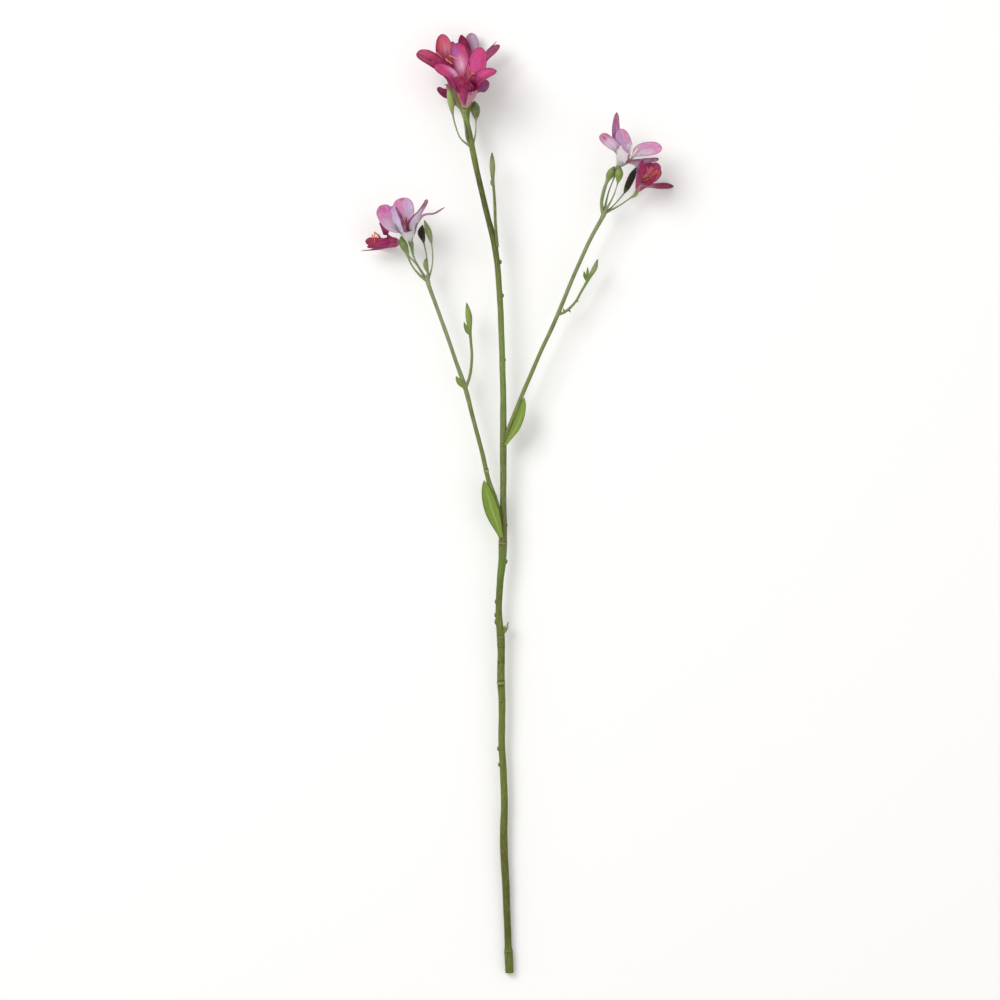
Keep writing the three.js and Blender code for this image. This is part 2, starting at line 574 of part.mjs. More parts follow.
function leftBranch() {
  const ring = limb([[-25.1, 25.1, 17.8, 2.3], [-25.8, 27.5, 17.9, 2.3]], 8, 1);
  const nodeBract = blade({
    line: [[-41.6, 91.1, 20.6], [-46.4, 96.7, 21.6], [-48.8, 101.5, 21.2]],
    facing: [0.5, 0, 1],
    width: 4.6,
    cells: [2, 4],
    thickness: bractThickness,
  });
  const budBract = blade({
    line: [[-37.1, 133.4, 22.6], [-40.4, 138.5, 23.6], [-42.5, 144.7, 23.4]],
    facing: [0.6, 0, 1],
    width: 4.2,
    cells: [2, 4],
    thickness: bractThickness,
  });
  const stemSleeve = limb(stemPoints, 8, 1, seam);
  return join([limb(leftRun), limb(leftTwig), ring, nodeBract, budBract]).subtract(stemSleeve);
}

function rightBranch() {
  const bracts = [
    [[55.6, 176.5, 23], [53.9, 181.6, 24], [53.5, 185.2, 24]],
    [[55.6, 176.5, 23], [56.2, 183.1, 24.6], [56.3, 188.7, 24.8]],
  ].map((line) =>
    blade({ line, facing: [0.4, -0.2, 1], width: 3.4, cells: [2, 3], thickness: bractThickness }),
  );
  const spurs = [
    [[37.9, 152.6, 21.6, 0.9], [37, 155.3, 22.2, 0.6]],
    [[41.5, 154.5, 21.8, 0.9], [42.6, 152.2, 22.2, 0.6]],
    [[47.4, 161.7, 22.2, 0.9], [49, 160.8, 22.6, 0.6]],
  ].map((line) => limb(line, 5, 1));
  const stemSleeve = limb(stemPoints, 8, 1, seam);
  return join([limb(rightRun), limb(rightTwig), ...bracts, ...spurs]).subtract(stemSleeve);
}

// The leaf under each branch covers the branch's foot and stands clear of it and of the stem.
const leaves = {
  left_leaf: {
    branch: leftRun,
    line: [
      [-12.6, -28.2, 18.3], [-16.8, -17, 19.6], [-21.2, -4, 19.2], [-24.8, 8.8, 18.8], [-26.6, 17.7, 19],
    ],
    facing: [-0.2, 0, 1],
    width: 12.8,
  },
  right_leaf: {
    branch: rightRun,
    line: [
      [-9.8, 45.6, 18.9], [-5, 53.2, 20.4], [-0.2, 61, 20.3], [3.2, 70, 19.4], [5.1, 78, 19.4],
      [5.8, 84.4, 19.5],
    ],
    facing: [-0.3, 0.1, 1],
    width: 7.6,
  },
};

function axilLeaf({ branch, line, facing, width }) {
  const shape = { line, facing, width, fold: 0.45, point: 0.8, cells: [4, 8], thickness: leafThickness };
  const leaf = blade(shape);
  return leaf
    .subtract(limb(stemPoints, 8, 1, seam))
    .subtract(limb(branch, 8, 1, seam));
}

// A flower stalk that widens into the green receptacle under its bloom.
function stalk(points, bloom) {
  const { foot, ahead } = axesOf(bloom);
  const under = (distance, radius) => [...foot.clone().addScaledVector(ahead, -distance), radius];
  const size = bloom.size;
  const receptacle = [under(receptacleLength * size, 1.7 * size), under(2 * size, 2.1 * size)];
  return limb([...points, ...receptacle, under(seam, 1.6 * size)], 7);
}

// The three heads of stalks and green buds
const heads = {
  top_head: {
    run: stemPoints,
    collar: [[-35.6, 282.2, 23.7, 2.4], [-36.2, 286.2, 24, 2.5]],
    stalks: [
      [[[-36, 284.6, 24.2, 1.9], [-36.7, 292.1, 25.4, 1.9], [-39.6, 304, 27.4, 1.9]], blooms.top_front],
      [[[-36.4, 284.3, 23.4, 1.5], [-39.7, 294.9, 19.6, 1.2], [-42.2, 308.8, 15.4, 1.2]], blooms.top_left],
      [[[-36, 284.3, 23, 1.5], [-37.6, 294.9, 19.6, 1.2], [-39.2, 307.9, 17, 1.3]], blooms.top_back],
      [[[-36.6, 284.3, 22.8, 1.4], [-39.8, 295.1, 16.6, 1.1], [-42.1, 307.4, 12.6, 1.1]], blooms.top_small],
    ],
    buds: [
      [[-36.8, 284.2, 24, 1.2], [-45, 290.9, 27, 0.8], [-49.5, 302.1, 31, 0.8], [-51.1, 309.2, 32.4, 1],
        [-52.2, 316.3, 33.4, 2.9], [-53.9, 326.6, 34, 2.2], [-54.9, 332.2, 34, 0.5]],
      [[-36.4, 284.5, 24, 1.2], [-40.3, 290.6, 25, 0.8], [-41.5, 300.9, 26, 0.8], [-43.1, 311.2, 26.6, 1.2],
        [-46.3, 319.9, 27.4, 2.3], [-49.2, 327.4, 30.4, 1.7], [-51, 332.2, 33.6, 0.5]],
      [[-35.6, 284.4, 23.8, 1.2], [-33.1, 295.3, 25, 0.8], [-32.8, 304.9, 25.4, 0.9],
        [-32.9, 309.7, 25.4, 2.8], [-33.4, 314.1, 25.4, 3.9], [-33.9, 318.1, 25.4, 2.8],
        [-34.4, 320.9, 25.4, 0.6]],
    ],
  },
  left_head: {
    run: leftRun,
    collar: [[-70.6, 174, 21.9, 1.7], [-71.8, 179.2, 22.2, 2.1]],
    stalks: [
      [[[-71.6, 177.3, 22, 1.3], [-78.3, 188.5, 22.2, 0.9], [-82.5, 196.5, 22, 0.9]], blooms.left_pale],
      [[[-71.8, 177.3, 21.6, 1.2], [-80.7, 191, 20.2, 0.8], [-87.9, 199.5, 19.2, 0.8]], blooms.left_magenta],
    ],
    buds: [
      [[-71.9, 177.3, 22.2, 1.3], [-77.8, 182, 24, 1], [-83.4, 188.8, 25.6, 0.9], [-86.9, 196.3, 26.4, 1],
        [-88.1, 200.3, 26.6, 1.9], [-90.4, 205.6, 26.4, 3.3], [-92, 210, 26, 2.3], [-92.4, 212.8, 26, 0.6]],
      [[-71.6, 177.3, 21.8, 1.2], [-71.3, 189.4, 20.4, 0.7], [-72.3, 197.4, 19.4, 0.7],
        [-74.4, 207.8, 18.4, 0.8]],
      [[-71.3, 177.3, 22.2, 1.2], [-68.1, 187.7, 23, 0.7], [-67.3, 197.2, 24, 0.7], [-68.2, 206.7, 24.8, 0.8],
        [-68.9, 210.3, 25, 1.6], [-70.8, 216.8, 25, 2.6], [-72.8, 222.4, 25, 1.5], [-73.9, 225.4, 25, 0.4]],
      [[-71.6, 177.3, 22.6, 1.2], [-71.2, 183.6, 24.4, 1], [-72.7, 188.7, 25.2, 2], [-73.1, 191.9, 25.4, 1.8],
        [-72.9, 195.1, 25.6, 0.5]],
    ],
  },
  right_head: {
    run: rightRun,
    collar: [[67.5, 227, 21.9, 1.7], [70.2, 232.4, 22.2, 2.1]],
    stalks: [
      [[[69, 230.4, 21.8, 1.3], [73.2, 248.5, 21, 0.8], [77.3, 259.3, 21, 0.8]], blooms.right_pale],
      [[[69.5, 231.2, 21.8, 1.2], [82, 237.8, 20.6, 0.8], [90.3, 243.6, 19.4, 0.9]], blooms.right_magenta],
    ],
    buds: [
      [[68.7, 229.9, 22, 1.6], [67.5, 239.6, 23, 1.4], [69.4, 249.6, 24.2, 1.5], [72, 257, 25, 1.5],
        [73.9, 261.5, 25.6, 3.1], [75.8, 265.1, 26, 2.8], [77.6, 268.4, 26.2, 0.6]],
      [[69.3, 231, 22.2, 1.2], [76.9, 245, 26, 0.8], [80.2, 254.9, 28.4, 0.9], [80.9, 258.6, 29, 2.4],
        [81.4, 262.8, 29.8, 3.3], [81.6, 266.3, 30.6, 2], [81.7, 268.2, 31, 0.6]],
      [[69.5, 231.2, 21.6, 1.2], [76.7, 237.3, 20, 0.7], [85.4, 247.4, 17, 0.8]],
    ],
  },
};

function head({ run, collar, stalks, buds }) {
  const parts = [limb(collar, 8, 1)];
  stalks.forEach(([points, bloom]) => parts.push(stalk(points, bloom)));
  buds.forEach((points) => parts.push(limb(points, 7)));
  return join(parts).subtract(limb(run, 8, 1, seam));
}

// Two closed buds that have gone nearly black, each on a stalk of its own
const darkBuds = {
  left_dark_bud: [
    [-74.5, 208.2, 18.4, 0.9], [-75.3, 211.5, 17.8, 2], [-76.6, 216.1, 17.2, 3.1], [-76.1, 219.4, 17, 2.2],
    [-75.4, 222.3, 17, 0.4],
  ],
  right_dark_bud: [
    [85.8, 247.9, 16.9, 0.8], [87.5, 251.5, 16.2, 2.1], [89.9, 256.8, 15.2, 2.8], [92.7, 262.9, 14, 2.7],
    [95.6, 268.7, 13, 0.5],
  ],
};

const flower = new THREE.Group();
flower.add(meshOf("main_stem", mainStem(), stemGreen));
flower.add(meshOf("left_branch", leftBranch(), stemGreen));
flower.add(meshOf("right_branch", rightBranch(), stemGreen));
for (const [name, leaf] of Object.entries(leaves)) flower.add(meshOf(name, axilLeaf(leaf), leafGreen));
for (const [name, parts] of Object.entries(heads)) flower.add(meshOf(name, head(parts), budGreen));
for (const [name, points] of Object.entries(darkBuds))
  flower.add(meshOf(name, limb(points, 8), darkBudGreen));
for (const [name, bloom] of Object.entries(blooms)) {
  flower.add(meshOf(`${name}_petals`, perianth(bloom), bloom.colour));
  flower.add(meshOf(`${name}_stamens`, stamens(bloom), bloom.filaments));
}

export default flower;
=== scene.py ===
import math

import bpy
import numpy as np
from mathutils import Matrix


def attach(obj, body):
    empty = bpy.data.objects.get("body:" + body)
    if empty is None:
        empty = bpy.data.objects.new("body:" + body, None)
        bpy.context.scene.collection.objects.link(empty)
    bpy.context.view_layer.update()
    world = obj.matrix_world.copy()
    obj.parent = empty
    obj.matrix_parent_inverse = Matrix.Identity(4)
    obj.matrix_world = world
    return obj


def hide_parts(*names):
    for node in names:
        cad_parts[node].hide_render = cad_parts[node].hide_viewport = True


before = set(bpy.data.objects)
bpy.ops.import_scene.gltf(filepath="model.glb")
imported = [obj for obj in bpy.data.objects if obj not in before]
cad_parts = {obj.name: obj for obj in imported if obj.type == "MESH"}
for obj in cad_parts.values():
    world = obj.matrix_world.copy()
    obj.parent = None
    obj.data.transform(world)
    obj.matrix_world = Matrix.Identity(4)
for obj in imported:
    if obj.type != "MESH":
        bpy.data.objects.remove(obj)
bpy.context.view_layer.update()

print("frame loaded,", len(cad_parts), "CAD pieces")

# Shapes are worked out in millimetres: +Y along the stem towards the blooms, +Z up from the floor.
millimetre = 0.001


# Numbers and colours

def smooth(low, high, x):
    # 0 below low, 1 above high, and 3u^2 - 2u^3 between them
    u = np.clip((np.asarray(x, float) - low) / (high - low), 0, 1)
    return u * u * (3 - 2 * u)


def bump(x, width):
    # A bell curve, exp(-(x / width)^2)
    return np.exp(-(np.asarray(x, float) / width) ** 2)


def unit(vectors):
    # Each vector over its own length
    return vectors / np.maximum(np.linalg.norm(vectors, axis=-1, keepdims=True), 1e-9)


def linearColour(hexColour):
    # sRGB to linear light: c / 12.92 in the darkest part, ((c + 0.055) / 1.055)^2.4 above it
    srgb = np.array([int(hexColour[i:i + 2], 16) for i in (1, 3, 5)]) / 255
    return np.where(srgb <= 0.04045, srgb / 12.92, ((srgb + 0.055) / 1.055) ** 2.4)


def socketColour(hexColour):
    # The same as red, green, blue and an alpha of 1
    return (*linearColour(hexColour).tolist(), 1.0)


def blendColour(first, second, share):
    # first * (1 - share) + second * share, for a whole array of shares
    return first * (1 - share[..., None]) + second * share[..., None]


# Curves and surfaces

placesPerSpan = 30  # how finely a curve's length is measured between two of its points


def curveAt(points, places):
    # Centripetal Catmull-Rom curve: each span is a cubic whose end slopes come from its four nearest
    # points, and a span lasts the square root of its length. Places run from 0 to the last point's number.
    points = np.asarray(points, float)
    spots = np.vstack([2 * points[0] - points[1], points, 2 * points[-1] - points[-2]])
    lasts = np.sqrt(np.linalg.norm(np.diff(spots[:, :3], axis=0), axis=1))
    span = np.clip(np.floor(places).astype(int), 0, len(points) - 2)
    u = (places - span)[:, None]
    a, b, c, d = (spots[span + k] for k in range(4))
    before, during, after = (lasts[span + k][:, None] for k in range(3))
    leaving = ((b - a) / before - (c - a) / (before + during)) * during + (c - b)
    arriving = (c - b) + ((d - c) / after - (d - b) / (during + after)) * during
    return (
        b * (2 * u ** 3 - 3 * u ** 2 + 1) + leaving * (u ** 3 - 2 * u ** 2 + u)
        + c * (3 * u ** 2 - 2 * u ** 3) + arriving * (u ** 3 - u ** 2)
    )


def placesByLength(points):
    # Places on the curve, and the length run up to each
    places = np.linspace(0, len(points) - 1, placesPerSpan * (len(points) - 1) + 1)
    steps = np.linalg.norm(np.diff(curveAt(points, places)[:, :3], axis=0), axis=1)
    return places, np.concatenate([[0], np.cumsum(steps)])


def gridQuads(numbers, turned=False):
    # The quads between neighbouring rows and columns of a grid of vertex numbers
    a, b, c, d = numbers[:-1, :-1], numbers[:-1, 1:], numbers[1:, 1:], numbers[1:, :-1]
    corners = [a, d, c, b] if turned else [a, b, c, d]
    return np.stack(corners, -1).reshape(-1, 4)


# How fine each kind of limb is made: sides round it, and millimetres from ring to ring
fineness = {
    "stem": (22, 0.9), "branch": (16, 0.8), "twig": (12, 0.6), "branchRing": (16, 0.2), "stub": (16, 0.2),
    "hook": (8, 0.3), "scar": (10, 0.25), "spur": (10, 0.3), "bellFloor": (20, 0.3), "pistil": (10, 0.4),
    "stamen": (12, 0.35), "stigma": (8, 0.3), "collar": (18, 0.4), "stalk": (14, 0.5), "bud": (18, 0.4),
    "darkBud": (20, 0.35),
}
fewestRows = 6
thinnestLimb = 0.15  # radius in mm
steepLimb = 0.8  # a limb that rises or falls by more than this share of its length counts its angles from +X
poleReach = 0.6  # how far a round end's pole stands out, as a share of the radius there


def limb(points, kind, relief, dye, roundEnds=(True, True)):
    # A round limb through points [x, y, z, radius]. At length v and angle a the surface is centre(v)
    # + (radius(v) + relief(a, v, radius)) * (cos(a) up + sin(a) across), closed by a pole at each end.
    sides, step = fineness[kind]
    places, run = placesByLength(points)
    rows = max(int(run[-1] / step), fewestRows)
    length = np.linspace(0, run[-1], rows + 1)
    line = curveAt(points, np.interp(length, run, places))
    centre, radius = line[:, :3], np.maximum(line[:, 3], thinnestLimb)
    ahead = unit(np.gradient(centre, length, axis=0))
    chord = unit(centre[-1] - centre[0])
    upright = np.array([0, 0, 1.0]) if abs(chord[2]) < steepLimb else np.array([1.0, 0, 0])
    across = unit(np.cross(ahead, upright))
    up = np.cross(across, ahead)
    angle = np.arange(sides) * 2 * np.pi / sides
    swell = radius[:, None] + np.zeros(sides)
    if relief is not None:
        swell = swell + relief(angle[None, :], length[:, None], radius[:, None])
    ring = np.cos(angle)[None, :, None] * up[:, None] + np.sin(angle)[None, :, None] * across[:, None]
    skin = centre[:, None] + swell[..., None] * ring
    poles = [
        centre[0] - ahead[0] * radius[0] * (poleReach if roundEnds[0] else 0),
        centre[-1] + ahead[-1] * radius[-1] * (poleReach if roundEnds[1] else 0),
    ]
    numbers = np.arange(skin.shape[0] * sides).reshape(-1, sides)
    first, last = numbers.size, numbers.size + 1
    numbers = np.hstack([numbers, numbers[:, :1]])
    firstCap = np.stack([np.full(sides, first), numbers[0, 1:], numbers[0, :-1]], -1)
    lastCap = np.stack([np.full(sides, last), numbers[-1, :-1], numbers[-1, 1:]], -1)
    grain = np.stack([swell * np.cos(angle), swell * np.sin(angle), length[:, None] + 0 * swell], -1)
    tint = dye(angle[None, :], length[:, None] + 0 * swell, radius[:, None] + 0 * swell)
    return {
        "places": np.vstack([skin.reshape(-1, 3), poles]),
        "faces": [gridQuads(numbers, turned=True), firstCap, lastCap],
        "grain": np.vstack([grain.reshape(-1, 3), [[0, 0, 0], [0, 0, run[-1]]]]),
        "dye": np.vstack([tint.reshape(-1, 3), tint[0, :1], tint[-1, :1]]),
    }


def leafSheet(middle, thickness, grain, dyes):
    # A thin closed sheet about a middle surface given on a grid: each face is the middle surface moved
    # by half the thickness along its normal. The thickness is nought round the rim, where both faces meet.
    downRows, alongRow = np.gradient(middle, axis=0), np.gradient(middle, axis=1)
    normal = unit(np.cross(alongRow, downRows))
    half = (thickness / 2)[..., None] * normal
    inside = np.zeros(middle.shape[:2], bool)
    inside[1:-1, 1:-1] = True
    front = np.arange(inside.size).reshape(inside.shape)
    back = front.copy()
    back[inside] = inside.size + np.arange(inside.sum())
    places = np.where(inside[..., None], middle + half, middle)
    return {
        "places": np.vstack([places.reshape(-1, 3), (middle - half)[inside]]),
        "faces": [gridQuads(front), gridQuads(back, turned=True)],
        "grain": np.vstack([grain.reshape(-1, 3), grain[inside]]),
        "dye": np.vstack([dyes[0].reshape(-1, 3), dyes[1][inside]]),
    }


def joined(parts):
    # Several surfaces as one: their arrays end to end, with the vertex numbers moved on
    starts = np.cumsum([0] + [len(part["places"]) for part in parts[:-1]])
    whole = {key: np.vstack([part[key] for part in parts]) for key in ("places", "grain", "dye")}
    whole["faces"] = [face + start for part, start in zip(parts, starts) for face in part["faces"]]
    return whole


def makePiece(name, surface, material, node):
    # Puts a surface in the scene at its place, with its grain and dye as attributes of its points
    mesh = bpy.data.meshes.new(name)
    faces = [corners for group in surface["faces"] for corners in group.tolist()]
    places = surface["places"] * millimetre
    places[:, 2] = np.maximum(places[:, 2], 0)  # what touches the floor lies flat on it
    mesh.from_pydata(places.tolist(), [], faces)
    grain = mesh.attributes.new("grain", "FLOAT_VECTOR", "POINT")
    grain.data.foreach_set("vector", surface["grain"].astype(np.float32).ravel())
    dye = mesh.attributes.new("dye", "FLOAT_COLOR", "POINT")
    opaque = np.ones((len(surface["dye"]), 1))
    dye.data.foreach_set("color", np.hstack([surface["dye"], opaque]).astype(np.float32).ravel())
    mesh.shade_smooth()
    mesh.materials.append(material)
    piece = bpy.data.objects.new(name, mesh)
    bpy.context.scene.collection.objects.link(piece)
    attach(piece, "root")
    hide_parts(node)


# Materials

def addNode(tree, kind, settings=None, links=None):
    # One shader node: settings are its own values or its inputs', links join its inputs to other sockets
    node = tree.nodes.new("ShaderNode" + kind)
    for key, value in (settings or {}).items():
        if isinstance(key, str) and hasattr(node, key):
            setattr(node, key, value)
        else:
            node.inputs[key].default_value = value
    for key, socket in (links or {}).items():
        tree.links.new(socket, node.inputs[key])
    return node


def startMaterial(name):
    # A new material with an empty node tree
    material = bpy.data.materials.new(name)
    material.use_nodes = True
    tree = material.node_tree
    tree.nodes.clear()
    return material, tree


def grainAndDye(tree):
    # The two attributes that every surface carries: millimetres on its own skin, and its dye
    grain = addNode(tree, "Attribute", {"attribute_name": "grain"}).outputs["Vector"]
    dye = addNode(tree, "Attribute", {"attribute_name": "dye"}).outputs["Color"]
    return grain, dye


noiseRoughness = 0.55


def noiseOn(tree, grain, stretch, scale, detail=3.0):
    # Noise over the grain, in blots about 1 / scale mm wide and longer where a stretch is under 1
    mapped = addNode(tree, "Mapping", {"Scale": stretch}, {"Vector": grain})
    settings = {"Scale": scale, "Detail": detail, "Roughness": noiseRoughness}
    return addNode(tree, "TexNoise", settings, {"Vector": mapped.outputs[0]}).outputs[0]


def ranged(tree, value, low, high, toLow, toHigh):
    # A smooth step from toLow at low to toHigh at high
    settings = {"interpolation_type": "SMOOTHSTEP", 1: low, 2: high, 3: toLow, 4: toHigh}
    return addNode(tree, "MapRange", settings, {0: value}).outputs[0]


def mixed(tree, factor, first, second):
    # A share of a second, hex, colour laid over a first one
    settings = {"data_type": "RGBA", 7: socketColour(second)}
    return addNode(tree, "Mix", settings, {0: factor, 6: first}).outputs[2]


def finished(material, tree, height, bumps, shading, links):
    # The shader and its output, with bumps of that height pattern
    raised = addNode(tree, "Bump", bumps, {"Height": height})
    shader = addNode(tree, "BsdfPrincipled", shading, {**links, "Normal": raised.outputs[0]})
    addNode(tree, "OutputMaterial", None, {"Surface": shader.outputs[0]})
    return material


greenSkins = {
    # The living skin of stems and buds: cellulose under a thin wax, which grew along the stem. Fine
    # lengthwise streaks and a satin gloss. "streak" is the width of a streak, "blot" of a blot and
    # "relief" the height of the bumps, in mm.
    "waxyStemSkin": {
        "streak": 0.45, "blot": 5.0, "dark": "#424C16", "light": "#A2B04E", "darkShare": 0.5,
        "lightShare": 0.35, "roughness": 0.48, "relief": 0.05,
    },
    "stalkSkin": {
        "streak": 0.3, "blot": 3.0, "dark": "#4F5A30", "light": "#B9C795", "darkShare": 0.4,
        "lightShare": 0.3, "roughness": 0.5, "relief": 0.03,
    },
    "budSkin": {
        "streak": 0.35, "blot": 2.4, "dark": "#47591F", "light": "#BFCF8A", "darkShare": 0.42,
        "lightShare": 0.28, "roughness": 0.42, "relief": 0.03,
    },
    "leafSkin": {
        "streak": 0.5, "blot": 5.0, "dark": "#48601F", "light": "#B3C56F", "darkShare": 0.3,
        "lightShare": 0.22, "roughness": 0.45, "relief": 0.04,
    },
    # Almost black with dim olive streaks, for the two dark buds
    "blackishBudSkin": {
        "streak": 0.35, "blot": 1.6, "dark": "#0F0F08", "light": "#56583A", "darkShare": 0.55,
        "lightShare": 0.3, "roughness": 0.62, "relief": 0.06,
    },
}
# What all green skins share: each pattern's stretch, and the two noise values between which it comes in
greenPattern = {
    "streaks": (1, 1, 0.08), "streaksIn": (0.42, 0.68),
    "paleStreaks": (1, 1, 0.14), "paleStreaksIn": (0.5, 0.72), "paleStreakScale": 0.6,
    "blots": (1, 1, 0.4), "blotsIn": (0.5, 0.75), "blotDetail": 4.0, "blotShare": 0.7,
    "duller": 0.14, "dullerIn": (0.35, 0.7), "bumpStrength": 0.5, "IOR": 1.42, "specular": 0.4,
}


def greenSkin(name):
    # Dye attribute, darkened in streaks and blots and lightened in broader streaks
    user, pattern = greenSkins[name], greenPattern
    material, tree = startMaterial(name)
    grain, dye = grainAndDye(tree)
    fine = noiseOn(tree, grain, pattern["streaks"], 1 / user["streak"])
    pale = noiseOn(tree, grain, pattern["paleStreaks"], pattern["paleStreakScale"] / user["streak"])
    blots = noiseOn(tree, grain, pattern["blots"], 1 / user["blot"], pattern["blotDetail"])
    streakShare = ranged(tree, fine, *pattern["streaksIn"], 0, user["darkShare"])
    colour = mixed(tree, streakShare, dye, user["dark"])
    paleShare = ranged(tree, pale, *pattern["paleStreaksIn"], 0, user["lightShare"])
    colour = mixed(tree, paleShare, colour, user["light"])
    blotShare = ranged(tree, blots, *pattern["blotsIn"], 0, user["darkShare"] * pattern["blotShare"])
    colour = mixed(tree, blotShare, colour, user["dark"])
    dullest = user["roughness"] + pattern["duller"]
    gloss = ranged(tree, blots, *pattern["dullerIn"], user["roughness"], dullest)
    return finished(
        material, tree, fine, {"Strength": pattern["bumpStrength"], "Distance": user["relief"] * millimetre},
        {"IOR": pattern["IOR"], "Specular IOR Level": pattern["specular"]},
        {"Base Color": colour, "Roughness": gloss},
    )


petalSkins = {
    # Petal tissue: one thin layer of dome-shaped dyed cells each side of clear watery flesh. It is
    # matt with a soft sheen, and veins run lengthwise. "veins" is how many cross the petal's width,
    # and "fleck" the size of a fleck in mm.
    "magentaTepalSkin": {
        "veins": 21.0, "veinColour": "#7A1248", "veinShare": 0.24, "fleck": 0.9, "fleckColour": "#5C0F3C",
        "fleckShare": 0.35, "lift": "#E46AA6", "liftShare": 0.3,
    },
    "paleTepalSkin": {
        "veins": 19.0, "veinColour": "#8E7FA6", "veinShare": 0.24, "fleck": 0.8, "fleckColour": "#6D6678",
        "fleckShare": 0.5, "lift": "#F6EDF2", "liftShare": 0.24,
    },
}
# What both petal skins share: veins that wander and break, paler clouds ("lifts") and flecks
petalPattern = {
    "wanders": (0.25, 0.25, 0.0), "wanderScale": 1.0, "wander": 0.22, "veinsIn": (0.35, 1.0),
    "breaks": (1.0, 0.3, 0.0), "breakScale": 0.5, "breaksIn": (0.35, 0.6), "faintest": 0.2,
    "lifts": (1.0, 0.45, 0.0), "liftScale": 0.45, "liftsIn": (0.38, 0.8),
    "flecks": (1.0, 0.6, 0.0), "fleckDetail": 2.0, "flecksIn": (0.62, 0.76),
    "relief": 0.06, "bumpStrength": 0.6,
    "shading": {
        "IOR": 1.4, "Specular IOR Level": 0.25, "Roughness": 0.55, "Subsurface Weight": 0.12,
        "Subsurface Radius": (0.0012, 0.0006, 0.0008), "Subsurface Scale": 1.0,
    },
}


def reckoned(tree, operation, settings, links):
    # The result of one Math node
    return addNode(tree, "Math", {"operation": operation, **settings}, links).outputs[0]


def petalSkin(name):
    # Dye attribute, with veins along the tepal, flecks and pale clouds. The grain attribute holds
    # millimetres across, millimetres along and the place across the width from -1 to 1.
    user, pattern = petalSkins[name], petalPattern
    material, tree = startMaterial(name)
    grain, dye = grainAndDye(tree)
    across = addNode(tree, "SeparateXYZ", None, {0: grain}).outputs[2]
    wander = noiseOn(tree, grain, pattern["wanders"], pattern["wanderScale"])
    wandered = reckoned(tree, "MULTIPLY_ADD", {1: pattern["wander"]}, {0: wander, 2: across})
    turns = reckoned(tree, "MULTIPLY", {1: user["veins"] * math.pi}, {0: wandered})
    wave = reckoned(tree, "COSINE", {}, {0: turns})
    breaks = noiseOn(tree, grain, pattern["breaks"], pattern["breakScale"])
    crests = ranged(tree, wave, *pattern["veinsIn"], 0, 1)
    gaps = ranged(tree, breaks, *pattern["breaksIn"], pattern["faintest"], 1)
    vein = reckoned(tree, "MULTIPLY", {}, {0: crests, 1: gaps})
    veinShare = reckoned(tree, "MULTIPLY", {1: user["veinShare"]}, {0: vein})
    lifts = noiseOn(tree, grain, pattern["lifts"], pattern["liftScale"])
    flecks = noiseOn(tree, grain, pattern["flecks"], 1 / user["fleck"], pattern["fleckDetail"])
    liftShare = ranged(tree, lifts, *pattern["liftsIn"], 0, user["liftShare"])
    colour = mixed(tree, liftShare, dye, user["lift"])
    colour = mixed(tree, veinShare, colour, user["veinColour"])
    fleckShare = ranged(tree, flecks, *pattern["flecksIn"], 0, user["fleckShare"])
    colour = mixed(tree, fleckShare, colour, user["fleckColour"])
    bumps = {"Strength": pattern["bumpStrength"], "Distance": pattern["relief"] * millimetre}
    return finished(material, tree, vein, bumps, pattern["shading"], {"Base Color": colour})


pollenSkins = {
    # Filaments are smooth moist threads; anthers are dusted with pollen grains of about 0.1 mm,
    # drawn four times as coarse so that they show.
    "orangeStamenSkin": {"dark": "#B4441C", "light": "#F7B27A"},
    "creamStamenSkin": {"dark": "#B8A488", "light": "#F8F3E4"},
}
pollenPattern = {
    "dustScale": 2.5, "dustDetail": 1.0, "lightIn": (0.5, 0.7), "darkIn": (0.45, 0.3), "share": 0.4,
    "relief": 0.05, "bumpStrength": 0.5,
    "shading": {"IOR": 1.4, "Roughness": 0.6, "Specular IOR Level": 0.3},
}


def pollenSkin(name):
    # Dye attribute, with light grains where the dust noise is high and dark ones where it is low
    user, pattern = pollenSkins[name], pollenPattern
    material, tree = startMaterial(name)
    grain, dye = grainAndDye(tree)
    dust = noiseOn(tree, grain, (1, 1, 1), pattern["dustScale"], pattern["dustDetail"])
    colour = mixed(tree, ranged(tree, dust, *pattern["lightIn"], 0, pattern["share"]), dye, user["light"])
    colour = mixed(tree, ranged(tree, dust, *pattern["darkIn"], 0, pattern["share"]), colour, user["dark"])
    bumps = {"Strength": pattern["bumpStrength"], "Distance": pattern["relief"] * millimetre}
    return finished(material, tree, dust, bumps, pattern["shading"], {"Base Color": colour})


finish = {name: greenSkin(name) for name in greenSkins}
finish.update({name: petalSkin(name) for name in petalSkins})
finish.update({name: pollenSkin(name) for name in pollenSkins})
print("materials ready,", len(finish))


# Stem and branches

